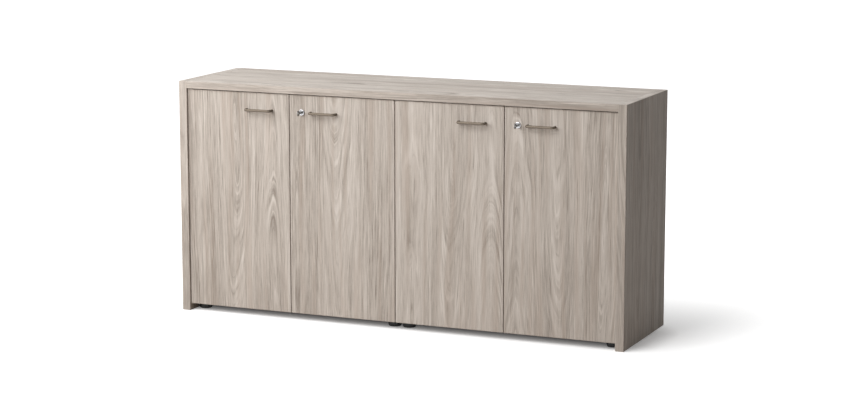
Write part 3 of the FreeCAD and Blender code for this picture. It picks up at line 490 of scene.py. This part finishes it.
def turned(profile, steps):
    """A shape spun about z from a profile of radius and height pairs, in millimetres."""
    mesh = bmesh.new()
    points = [mesh.verts.new((radius * MM, 0, height * MM)) for radius, height in profile]
    lines = [mesh.edges.new(pair) for pair in zip(points, points[1:])]
    bmesh.ops.spin(
        mesh, geom=points + lines, cent=(0, 0, 0), axis=(0, 0, 1), angle=math.tau, steps=steps,
        use_merge=True,
    )
    bmesh.ops.remove_doubles(mesh, verts=mesh.verts, dist=WELD)
    bmesh.ops.recalc_face_normals(mesh, faces=mesh.faces)
    return mesh


def stored(mesh):
    """Keeps a bmesh as mesh data, to be stamped several times."""
    data = bpy.data.meshes.new("shape")
    mesh.to_mesh(data)
    mesh.free()
    return data


def sink(mesh, faces, inset, depth=0, side=1):
    """Insets a region of faces that looks to a side along z, and sinks it, in millimetres."""
    bmesh.ops.inset_region(
        mesh, faces=faces, thickness=inset * MM, use_boundary=True, use_even_offset=True
    )
    moved = {corner for face in faces for corner in face.verts}
    bmesh.ops.translate(mesh, verts=list(moved), vec=(0, 0, -side * depth * MM))


def soften(mesh, edges, width, segments):
    """Bevels edges by a width in millimetres."""
    bmesh.ops.bevel(
        mesh, geom=edges, offset=width * MM, offset_type="OFFSET", segments=segments, profile=0.5,
        affect="EDGES", material=-1,
    )


def sharp_edges(mesh):
    """The edges where two faces meet at a sharp angle."""
    shared = [edge for edge in mesh.edges if len(edge.link_faces) == 2]
    return [edge for edge in shared if edge.calc_face_angle() > SHARP]


def faces_towards(mesh, side):
    """The faces that look straight along z, or back along it where side is -1."""
    return [face for face in mesh.faces if face.normal.z * side > 0.99]


def thicken(mesh, thickness):
    """Gives a flat sheet in the xy plane a thickness in millimetres, centred on the plane."""
    bmesh.ops.translate(mesh, verts=mesh.verts, vec=(0, 0, -thickness / 2 * MM))
    raised = bmesh.ops.extrude_face_region(mesh, geom=mesh.faces[:])["geom"]
    corners = [item for item in raised if isinstance(item, bmesh.types.BMVert)]
    bmesh.ops.translate(mesh, verts=corners, vec=(0, 0, thickness * MM))
    bmesh.ops.recalc_face_normals(mesh, faces=mesh.faces)


def skirt(mesh, radius):
    """Closes a head's rim with a side that runs down to z = 0 and spreads out a little."""
    spread = 0.06 * radius
    rim = [edge for edge in mesh.edges if edge.is_boundary]
    for corner in bmesh.ops.extrude_edge_only(mesh, edges=rim)["geom"]:
        if isinstance(corner, bmesh.types.BMVert):
            out = corner.co.xy.normalized() * spread * MM
            corner.co = (corner.co.x + out.x, corner.co.y + out.y, 0)
    bmesh.ops.recalc_face_normals(mesh, faces=mesh.faces)


def piece(name, body, slot, stamps, replaces=()):
    """An object made of shapes stamped at placements, riding on a CAD body."""
    mesh = bmesh.new()
    for shape, placement in stamps:
        start = len(mesh.verts)
        mesh.from_mesh(shape)
        mesh.verts.ensure_lookup_table()
        bmesh.ops.transform(mesh, matrix=placement, verts=mesh.verts[start:])
    data = bpy.data.meshes.new(name)
    mesh.to_mesh(data)
    mesh.free()
    for face in data.polygons:
        face.use_smooth = True
    data.set_sharp_from_angle(angle=SHARP)
    data.materials.append(finishes(bpy.context.scene)[slot])
    made = bpy.data.objects.new(name, data)
    bpy.context.scene.collection.objects.link(made)
    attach(made, body)
    if replaces:
        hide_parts(*replaces)


def solids(node):
    """The lowest and highest corners of each separate solid of a CAD node."""
    mesh = bmesh.new()
    mesh.from_mesh(frame["nodes"][node].data)
    bmesh.ops.remove_doubles(mesh, verts=mesh.verts, dist=WELD)
    waiting = set(mesh.verts)
    boxes = []
    while waiting:
        reached = [waiting.pop()]
        for corner in reached:
            near = {edge.other_vert(corner) for edge in corner.link_edges} & waiting
            waiting -= near
            reached.extend(near)
        spots = [corner.co for corner in reached]
        low = Vector([min(spot[axis] for spot in spots) for axis in range(3)])
        high = Vector([max(spot[axis] for spot in spots) for axis in range(3)])
        boxes.append((low, high))
    mesh.free()
    return boxes


def cross_head(radius, height, recess):
    """A round screw head with a cross recess, its seat at z = 0, in millimetres."""
    half_arm, reach, crown, slope = 0.13, 0.55, 0.08, 0.04
    # The grid's lines move to the sides and the ends of the recess and to the rim.
    lines = {1: half_arm, 3: reach, 5: 1.0}
    mesh = bmesh.new()
    bmesh.ops.create_grid(mesh, x_segments=5, y_segments=5, size=1)
    for corner in mesh.verts:
        out = Vector([math.copysign(lines[abs(round(part * 5))], part) for part in corner.co.xy])
        if max(abs(out.x), abs(out.y)) == 1:
            out.normalize()
        rise = crown * height * (1 - out.length_squared)
        corner.co = (out.x * radius * MM, out.y * radius * MM, (height + rise) * MM)
    arms = []
    for face in mesh.faces:
        middle = face.calc_center_median().xy / (radius * MM)
        if min(abs(middle.x), abs(middle.y)) < half_arm and middle.length < reach:
            arms.append(face)
    sink(mesh, arms, inset=slope * radius, depth=recess)
    skirt(mesh, radius)
    return stored(mesh)


def socket_head(radius, height, socket, recess):
    """A round bolt head with a hexagonal socket, its seat at z = 0, in millimetres."""
    slope = 0.03
    mesh = bmesh.new()
    bmesh.ops.create_circle(mesh, cap_ends=True, segments=36, radius=radius * MM)
    bmesh.ops.translate(mesh, verts=mesh.verts, vec=(0, 0, height * MM))
    disc = mesh.faces[:]
    sink(mesh, disc, inset=radius - socket)
    for corner in disc[0].verts:
        angle = math.atan2(corner.co.y, corner.co.x) % (math.pi / 3) - math.pi / 6
        corner.co.xy *= math.cos(math.pi / 6) / math.cos(angle)
    sink(mesh, disc, inset=slope * radius, depth=recess)
    skirt(mesh, radius)
    return stored(mesh)


def threaded(radius, depth, start, end, pitch):
    """Profile points of a thread between two heights, from its crests down to its roots."""
    points = []
    for turn in range(round((end - start) / pitch)):
        low = start + turn * pitch
        points += [(radius, low), (radius - depth, low + pitch / 2)]
    return points + [(radius, end)]


def on_side(low, high):
    """For a solid on a carcass side: the sign of the way into its unit, and the solid's ends.

    The first end is the one at the side, the second the one inside the unit.
    """
    x = (low.x + high.x) / 2
    way = math.copysign(1, math.copysign(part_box("door_4")[1].x / 2, x) - x)
    return (way, low.x, high.x) if way > 0 else (way, high.x, low.x)


def hinge_corner(door):
    """The x of a door's hinge corner, with the sign of the way to its free edge."""
    low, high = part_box(f"door_{door}")
    return (low.x, 1) if door in (1, 3) else (high.x, -1)


def middle_of(low, high):
    """The middle of a box."""
    return (low + high) / 2


DOORS = (1, 2, 3, 4)
FEET = range(1, 9)
LOCKS = {"left": 2, "right": 4}


# ---------------------------------------------------------------- operators


class CREDENZA_OT_boards(bpy.types.Operator):
    """Prints the elm decor on every board"""

    bl_idname = "credenza.boards"
    bl_label = "Dress the Boards"

    # Which stretch of the decor each board in front shows; the others take theirs in order.
    stretches = {
        "door_1": 17, "door_2": 20, "door_3": 7, "door_4": 24,
        "top_panel": 37, "left_end_panel": 8, "right_end_panel": 12,
    }
    first_other = 60

    def execute(self, context):
        figure = elm_figure(context.scene.credenza_decor)
        for index, part in enumerate(frame["record"]["subparts"]):
            if part["material_slot"] == "elm_board":
                node = part["node"]
                seed = self.stretches.get(node, self.first_other + index)
                assign(node, elm_board(figure, node, seed))
        return {"FINISHED"}


class CREDENZA_OT_metal(bpy.types.Operator):
    """Gives the handles, hinges, plugs, cams, pins and plates their finishes"""

    bl_idname = "credenza.metal"
    bl_label = "Dress the Fittings"

    def execute(self, context):
        made = finishes(context.scene)
        for part in frame["record"]["subparts"]:
            if part["material_slot"] in made:
                assign(part["node"], made[part["material_slot"]])
        return {"FINISHED"}


class CREDENZA_OT_locks(bpy.types.Operator):
    """Turns the lock barrels with their nuts, and the screws that hold the cams"""

    bl_idname = "credenza.locks"
    bl_label = "Make the Locks"

    # The barrel ends just short of the cam, which turns past its end.
    barrel_profile = (
        (6.6, 31.45), (6.6, 0.6), (7.0, 0), (9.2, 0), (10.1, 0.4), (10.5, 1.3), (10.5, 4.5),
        (9, 4.5), *threaded(9, 0.4, 22.5, 31.45, 1), (6.6, 31.45),
    )
    nut_profile = (
        (8.9, 22.5), (12, 22.5), (12.5, 23), (12.5, 27), (12, 27.5), (8.9, 27.5), (8.9, 22.5),
    )

    def execute(self, context):
        barrel = stored(turned(self.barrel_profile, 64))
        nut = stored(turned(self.nut_profile, 6))
        screw = cross_head(radius=4.6, height=1.5, recess=0.9)
        for side, door in LOCKS.items():
            low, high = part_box(f"lock_housing_{side}")
            place = middle_of(low, high)
            front = towards((place.x, low.y, place.z), (0, 1, 0))
            piece(f"lock_barrel_{side}", f"door_{door}", "chrome",
                  [(barrel, front), (nut, front)], [f"lock_housing_{side}"])
            back = towards((place.x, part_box(f"lock_cam_{side}")[1].y, place.z), (0, 1, 0))
            piece(f"cam_screw_{side}", f"lock_plug_{side}", "plated_steel", [(screw, back)])
        return {"FINISHED"}


class CREDENZA_OT_keys(bpy.types.Operator):
    """Cuts the keys: a round bow with a ring hole and a milled, toothed blade"""

    bl_idname = "credenza.keys"
    bl_label = "Make the Keys"

    # The blade's steps, from the bow to the tip, and how far each tooth is cut back.
    columns = 24
    first_tooth = 13
    teeth = (0.9, 0.9, 0.3, 1.3, 1.3, 0.5, 0.5, 1.1, 1.1, 0.4, 0.8)
    blade_start = 8.7
    blade_height = 7

    def execute(self, context):
        low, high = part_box("key_left")
        thickness = (high.x - low.x) / MM
        radius = (high.z - low.z) / 2
        bow = self.bow(radius / MM, thickness)
        blade = self.blade((high.y - low.y - radius) / MM, thickness)
        for side in LOCKS:
            low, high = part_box(f"key_{side}")
            radius = (high.z - low.z) / 2
            place = (middle_of(low, high).x, low.y + radius, low.z + radius)
            centre = towards(place, (1, 0, 0))
            piece(f"cut_key_{side}", f"key_{side}", "nickel_key",
                  [(bow, centre), (blade, centre)], [f"key_{side}"])
        return {"FINISHED"}

    def bow(self, radius, thickness):
        """The round bow with its ring hole and a sunk field on both faces."""
        hole = radius / 3 * MM
        mesh = bmesh.new()
        bmesh.ops.create_circle(mesh, segments=48, radius=radius * MM)
        aside = Matrix.Translation((-hole, 0, 0))
        bmesh.ops.create_circle(mesh, segments=48, radius=hole, matrix=aside)
        bmesh.ops.bridge_loops(mesh, edges=mesh.edges)
        thicken(mesh, thickness)
        soften(mesh, sharp_edges(mesh), width=0.3, segments=2)
        for side in (1, -1):
            sink(mesh, faces_towards(mesh, side), inset=0.7, depth=0.3, side=side)
        return stored(mesh)

    def blade(self, length, thickness):
        """The blade: teeth along its lower edge, a milled groove in each face and a blunt tip."""
        blunt = 0.45
        mesh = bmesh.new()
        bmesh.ops.create_grid(mesh, x_segments=self.columns, y_segments=3, size=1)
        for corner in mesh.verts:
            share = (corner.co.x + 1) / 2
            x = self.blade_start + share * (length - self.blade_start)
            y = corner.co.y * self.blade_height / 2
            column = round(share * self.columns)
            tooth = column - self.first_tooth
            if corner.co.y < -0.9 and 0 <= tooth < len(self.teeth):
                y += self.teeth[tooth]
            if column == self.columns:
                y *= blunt
            corner.co = (x * MM, y * MM, 0)
        thicken(mesh, thickness)
        half_row = 0.15 * self.blade_height * MM
        for side in (1, -1):
            row = [
                face for face in faces_towards(mesh, side)
                if abs(face.calc_center_median().y) < half_row
            ]
            sink(mesh, row, inset=0.25, depth=0.45, side=side)
        return stored(mesh)


class CREDENZA_OT_feet(bpy.types.Operator):
    """Moulds the levelling feet with their grip notches and threaded stems"""

    bl_idname = "credenza.feet"
    bl_label = "Make the Feet"

    profile = (
        (0, 0), (18, 0), (20.6, 0.3), (22, 1.3), (22.9, 5), (24, 11), (24, 20.4), (23.5, 21.6),
        (22.4, 22), (7, 22), *threaded(4, 0.45, 22, 40, 1.5), (0, 40),
    )
    # The notches are cut outside this radius and above this height.
    grip_radius = 20 * MM
    grip_base = 1 * MM

    def execute(self, context):
        plastic = context.scene.credenza_plastic
        mesh = turned(self.profile, 96)
        for corner in mesh.verts:
            radius = corner.co.xy.length
            if radius > self.grip_radius and corner.co.z > self.grip_base:
                angle = math.atan2(corner.co.y, corner.co.x)
                notch = max(0, math.cos(plastic.notches * angle)) ** 2 * plastic.notch_depth
                corner.co.xy *= 1 - notch / radius
        foot = stored(mesh)
        for number in FEET:
            low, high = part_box(f"foot_{number}")
            place = middle_of(low, high)
            stamp = (foot, Matrix.Translation((place.x, place.y, low.z)))
            piece(f"levelling_foot_{number}", f"foot_{number}", "black_plastic", [stamp],
                  [f"foot_{number}"])
        return {"FINISHED"}


class CREDENZA_OT_buffers(bpy.types.Operator):
    """Makes the soft domes that the doors close against"""

    bl_idname = "credenza.buffers"
    bl_label = "Make the Buffers"

    profile = ((0, 0), (4, 0), (4, 0.5), (3.7, 1.2), (2.9, 1.8), (1.6, 2.1), (0, 2.2))

    def execute(self, context):
        dome = stored(turned(self.profile, 32))
        stamps = []
        for low, high in solids("door_buffers"):
            place = middle_of(low, high)
            stamps.append((dome, towards((place.x, high.y, place.z), (0, -1, 0))))
        piece("buffer_domes", "carcass", "clear_soft_plastic", stamps, ["door_buffers"])
        return {"FINISHED"}


class CREDENZA_OT_hinges(bpy.types.Operator):
    """Adds the pressed arm shells with their adjusting screws, and the plate and cup screws"""

    bl_idname = "credenza.hinges"
    bl_label = "Dress the Hinges"

    # Millimetres: how much wider a shell is than its arm, the depth of its sunk track, a plate's
    # thickness under its screws' heads, and where the screws of a plate and of a cup lie from
    # the plate's front and the door's edge.
    widening = 0.6
    track = 0.9
    plate_seat = 2.5
    plate_screw_place = 8.4
    cup_screw_place = 34
    # Where the adjusting screws lie from the arm's middle, as shares of its length.
    adjuster_places = (-0.32, 0.02, 0.34)
    ends = (-0.5, 0.5)

    def execute(self, context):
        fittings = context.scene.credenza_fittings
        low, high = solids("hinge_arms")[0]
        height = (high.x - low.x + fittings.cover) / MM
        shell = self.shell(fittings, (high.z - low.z) / MM + self.widening, height)
        adjuster = cross_head(radius=2.9, height=0.75, recess=0.55)
        holder = cross_head(radius=4.05, height=2.9, recess=0.8)
        shells, arm_screws, plate_screws = [], [], []
        for low, high in solids("hinge_arms"):
            side, foot, _ = on_side(low, high)
            middle, level = high.y - fittings.arm_length / 2, middle_of(low, high).z
            shells.append((shell, towards((foot, middle, level), (side, 0, 0))))
            bed = foot + side * (height - self.track) * MM
            for step in self.adjuster_places:
                spot = (bed, middle + step * fittings.arm_length, level)
                arm_screws.append((adjuster, towards(spot, (side, 0, 0))))
        for low, high in solids("hinge_plates"):
            side, foot, _ = on_side(low, high)
            seat, back = foot + side * self.plate_seat * MM, low.y + self.plate_screw_place * MM
            for step in self.ends:
                level = middle_of(low, high).z + step * fittings.plate_screw_pitch
                plate_screws.append((holder, towards((seat, back, level), (side, 0, 0))))
        piece("hinge_arm_shells", "carcass", "nickel_steel", shells)
        piece("hinge_adjusters", "carcass", "plated_steel", arm_screws)
        piece("hinge_plate_screws", "carcass", "plated_steel", plate_screws)
        flat = cross_head(radius=3.3, height=0.5, recess=0.45)
        for door in DOORS:
            stamps = []
            corner, side = hinge_corner(door)
            for low, high in solids(f"hinge_cups_{door}"):
                for step in self.ends:
                    level = middle_of(low, high).z + step * fittings.cup_screw_pitch
                    spot = (corner + side * self.cup_screw_place * MM, high.y, level)
                    stamps.append((flat, towards(spot, (0, 1, 0))))
            piece(f"hinge_cup_screws_{door}", f"door_{door}", "plated_steel", stamps)
        return {"FINISHED"}

    def shell(self, fittings, width, height):
        """The pressed arm: rounded long edges and a sunk track for the adjusting screws."""
        mesh = bmesh.new()
        bmesh.ops.create_cube(mesh, size=MM)
        size = (fittings.arm_length / MM, width, height)
        bmesh.ops.scale(mesh, vec=size, verts=mesh.verts)
        bmesh.ops.translate(mesh, vec=(0, 0, height / 2 * MM), verts=mesh.verts)
        top = [
            edge for edge in mesh.edges
            if min(corner.co.z for corner in edge.verts) > height / 2 * MM
        ]
        soften(mesh, top, width=fittings.arm_edge / MM, segments=4)
        field = faces_towards(mesh, 1)
        sink(mesh, field, inset=1.2)
        sink(mesh, field, inset=0.5, depth=self.track)
        return stored(mesh)


class CREDENZA_OT_screws(bpy.types.Operator):
    """Makes the screw heads behind the doors and in the carcasses, and the joining bolts' heads"""

    bl_idname = "credenza.screws"
    bl_label = "Make the Screws"

    # How far back from the end of the CAD head each made head starts.
    head_back = 2 * MM
    strike_back = 1.5 * MM
    bolt_back = 1.8 * MM
    # Where the screws of a strike lie: to both sides of its middle, and behind it.
    strike_aside = 10 * MM
    strike_behind = 2 * MM

    def execute(self, context):
        recess = context.scene.credenza_fittings.recess / MM
        head = cross_head(radius=4.05, height=2.1 + recess, recess=recess)
        for door in DOORS:
            stamps = []
            for low, high in solids(f"handle_screws_{door}"):
                place = middle_of(low, high)
                spot = (place.x, high.y - self.head_back, place.z)
                stamps.append((head, towards(spot, (0, 1, 0))))
            piece(f"handle_screw_heads_{door}", f"door_{door}", "plated_steel", stamps)
        heads = []
        for low, high in solids("panel_screws"):
            place = middle_of(low, high)
            if high.z - low.z > high.x - low.x:
                spot, way = (place.x, place.y, low.z + self.head_back), (0, 0, -1)
            else:
                side, _, inner = on_side(low, high)
                spot, way = (inner - side * self.head_back, place.y, place.z), (side, 0, 0)
            heads.append((head, towards(spot, way)))
        small = cross_head(radius=3.4, height=1.1, recess=0.7)
        for low, high in solids("strike_plates"):
            place = middle_of(low, high)
            for step in (-self.strike_aside, self.strike_aside):
                spot = (place.x + step, place.y + self.strike_behind, high.z - self.strike_back)
                heads.append((small, towards(spot, (0, 0, -1))))
        piece("carcass_screw_heads", "carcass", "plated_steel", heads)
        bolt = socket_head(radius=8.05, height=2.6, socket=4.2, recess=0.7)
        bolts = []
        for low, high in solids("unit_joining_bolts"):
            place = middle_of(low, high)
            for side, end in ((-1, low.x), (1, high.x)):
                spot = (end - side * self.bolt_back, place.y, place.z)
                bolts.append((bolt, towards(spot, (side, 0, 0))))
        piece("joining_bolt_heads", "carcass", "plated_steel", bolts)
        return {"FINISHED"}


class CREDENZA_OT_knock_downs(bpy.types.Operator):
    """Makes the cam locks with their bolts, and the shelf pins"""

    bl_idname = "credenza.knock_downs"
    bl_label = "Make the Cam Locks and Pins"

    bolt_profile = (
        (0, 0), (2.2, 0), *threaded(3.4, 0.7, 0.8, 12.8, 1.5), (3.45, 13.2), (3.45, 22),
        (2.3, 22.6), (2.3, 24.6), (3.1, 25.2), (3.1, 26.2), (2.6, 26.5), (0, 26.5),
    )
    pin_profile = (
        (0, 0), (2.1, 0), (2.5, 0.4), *threaded(2.5, 0.15, 2, 8, 1), (2.5, 17.4), (2.1, 18),
        (0, 18),
    )
    # A cam is taller than this and a bolt lower; a cam below the middle level faces down.
    least_cam = 10 * MM
    middle_level = 400 * MM

    def execute(self, context):
        cam = cross_head(radius=7.05, height=13, recess=1.6)
        bolt = stored(turned(self.bolt_profile, 24))
        fittings = []
        for low, high in solids("cam_fittings"):
            place = middle_of(low, high)
            if high.z - low.z > self.least_cam:
                seat, way = (high.z, -1) if low.z < self.middle_level else (low.z, 1)
                fittings.append((cam, towards((place.x, place.y, seat), (0, 0, way))))
            else:
                side, start, _ = on_side(low, high)
                fittings.append((bolt, towards((start, place.y, place.z), (side, 0, 0))))
        piece("cam_locks", "carcass", "zinc", fittings, ["cam_fittings"])
        pin = stored(turned(self.pin_profile, 24))
        pins = []
        for low, high in solids("shelf_pins"):
            place = middle_of(low, high)
            side, start, _ = on_side(low, high)
            pins.append((pin, towards((start, place.y, place.z), (side, 0, 0))))
        piece("shelf_support_pins", "carcass", "plated_steel", pins, ["shelf_pins"])
        return {"FINISHED"}


class CREDENZA_OT_stage(bpy.types.Operator):
    """Lays the floor and sets up the lamps and the camera"""

    bl_idname = "credenza.stage"
    bl_label = "Set the Stage"

    # Each lamp's setting, the side of its square in metres and its place.
    lamps = {
        "key_lamp": ("key_power", 3.0, (-1.25, -3.15, 2.6)),
        "side_lamp": ("side_power", 2.0, (-3.2, -1.3, 2.3)),
        "top_lamp": ("top_power", 2.6, (0.0, 0.1, 3.3)),
    }
    lamps_aim = Vector((0, 0, 0.4))
    # The camera's place, how many degrees it looks down and how many to its left.
    eye = (3.196, -7.3705, 1.812)
    down, left = 9.936, 23.215
    floor_reach = 60
    # The floor's glow under the carcasses, held low there as painted shade, and how much more it
    # has away from them: each row is half the size of a footprint, how far outside it the glow
    # grows, and by how much.
    floor_glow_in_painted_shade = 0.03
    painted_shade_steps = (((0.80, 0.09, 0), 0.13, 0.3), ((0.83, 0.22, 0), 0.8, 0.67))

    def execute(self, context):
        scene = context.scene
        stage = scene.credenza_stage
        scene.view_settings.view_transform = "Standard"
        self.lay_floor(scene, stage)
        self.surround(scene, stage)
        for name, (power, size, place) in self.lamps.items():
            self.lamp(scene, name, getattr(stage, power), size, place)
        data = bpy.data.cameras.new("camera")
        data.lens = stage.lens
        data.sensor_width = 36
        camera = bpy.data.objects.new("camera", data)
        camera.location = self.eye
        camera.rotation_euler = [math.radians(angle) for angle in (90 - self.down, 0, self.left)]
        scene.collection.objects.link(camera)
        scene.camera = camera
        return {"FINISHED"}

    def seen(self, put):
        """1 where the camera sees a surface, in a mirror and through glass too, and else 0."""
        path = put("LightPath").outputs
        seen = put("Math MAXIMUM", path["Is Camera Ray"], path["Is Glossy Ray"])
        return put("Math MAXIMUM", seen, path["Is Transmission Ray"])

    def lay_floor(self, scene, stage):
        """A wide floor that is white to the eye, keeps the shadows cast on it and glows less under
        and beside the carcasses, as painted shade.
        """
        mesh = bmesh.new()
        bmesh.ops.create_grid(mesh, x_segments=1, y_segments=1, size=self.floor_reach)
        data = bpy.data.meshes.new("floor")
        mesh.to_mesh(data)
        mesh.free()
        floor = bpy.data.objects.new("floor", data)
        scene.collection.objects.link(floor)
        material, tree = blank("painted_floor")
        put = partial(add, tree)
        seen = self.seen(put)
        shade = put("Mix", links={0: seen, 6: stage.floor, 7: (1, 1, 1, 1)}, data_type="RGBA")
        paint = put("BsdfDiffuse", shade)
        # Painted shade: the glow is dark under the carcasses, grey beside the end panels and white
        # from a few steps away.
        aside = put("VectorMath ABSOLUTE", put("TexCoord").outputs["Object"])
        light = self.floor_glow_in_painted_shade
        for half_size, reach, gain in self.painted_shade_steps:
            beyond = put("VectorMath SUBTRACT", aside, half_size)
            beyond = put("VectorMath MAXIMUM", beyond, (0, 0, 0))
            away = put("VectorMath LENGTH", beyond)
            more = put("MapRange", links={"Value": away, "From Max": reach, "To Max": gain})
            light = put("Math ADD", light, more)
        glow = put("Emission", links={"Strength": put("Math MULTIPLY", seen, light)})
        put("OutputMaterial", put("AddShader", paint, glow))
        data.materials.append(material)

    def surround(self, scene, stage):
        """An even studio surround, white where the camera or a mirror sees it."""
        world = bpy.data.worlds.new("studio")
        world.use_nodes = True
        world.node_tree.nodes.clear()
        scene.world = world
        put = partial(add, world.node_tree)
        links = {"Value": self.seen(put), "To Min": stage.sky, "To Max": 1.0}
        put("OutputWorld", put("Background", (1, 1, 1, 1), put("MapRange", links=links)))

    def lamp(self, scene, name, power, size, place):
        """A square lamp that looks at the middle of the credenza."""
        data = bpy.data.lights.new(name, "AREA")
        data.energy = power
        data.size = size
        lamp = bpy.data.objects.new(name, data)
        lamp.location = place
        aim = self.lamps_aim - Vector(place)
        lamp.rotation_euler = aim.to_track_quat("-Z", "Y").to_euler()
        scene.collection.objects.link(lamp)


OPERATORS = (
    CREDENZA_OT_stage, CREDENZA_OT_boards, CREDENZA_OT_metal, CREDENZA_OT_locks,
    CREDENZA_OT_keys, CREDENZA_OT_feet, CREDENZA_OT_buffers, CREDENZA_OT_hinges,
    CREDENZA_OT_screws, CREDENZA_OT_knock_downs,
)


class CREDENZA_PT_tools(bpy.types.Panel):
    """Lists the steps and the sizes and colours they use"""

    bl_idname = "CREDENZA_PT_tools"
    bl_label = "Credenza"
    bl_space_type = "VIEW_3D"
    bl_region_type = "UI"
    bl_category = "Credenza"

    def draw(self, context):
        for operator in OPERATORS:
            self.layout.operator(operator.bl_idname)
        for name, settings in SETTINGS.items():
            box = self.layout.box()
            box.label(text=settings.__doc__)
            for key in settings.__annotations__:
                box.prop(getattr(context.scene, name), key)


CLASSES = (*SETTINGS.values(), *OPERATORS, CREDENZA_PT_tools)


def register():
    for item in CLASSES:
        bpy.utils.register_class(item)
    for name, settings in SETTINGS.items():
        setattr(bpy.types.Scene, name, PointerProperty(type=settings))


def unregister():
    for name in SETTINGS:
        delattr(bpy.types.Scene, name)
    for item in reversed(CLASSES):
        bpy.utils.unregister_class(item)


def main():
    """Registers everything and builds the looks in order."""
    register()
    for operator in OPERATORS:
        group, name = operator.bl_idname.split(".")
        getattr(getattr(bpy.ops, group), name)()


if __name__ == "__main__":
    main()
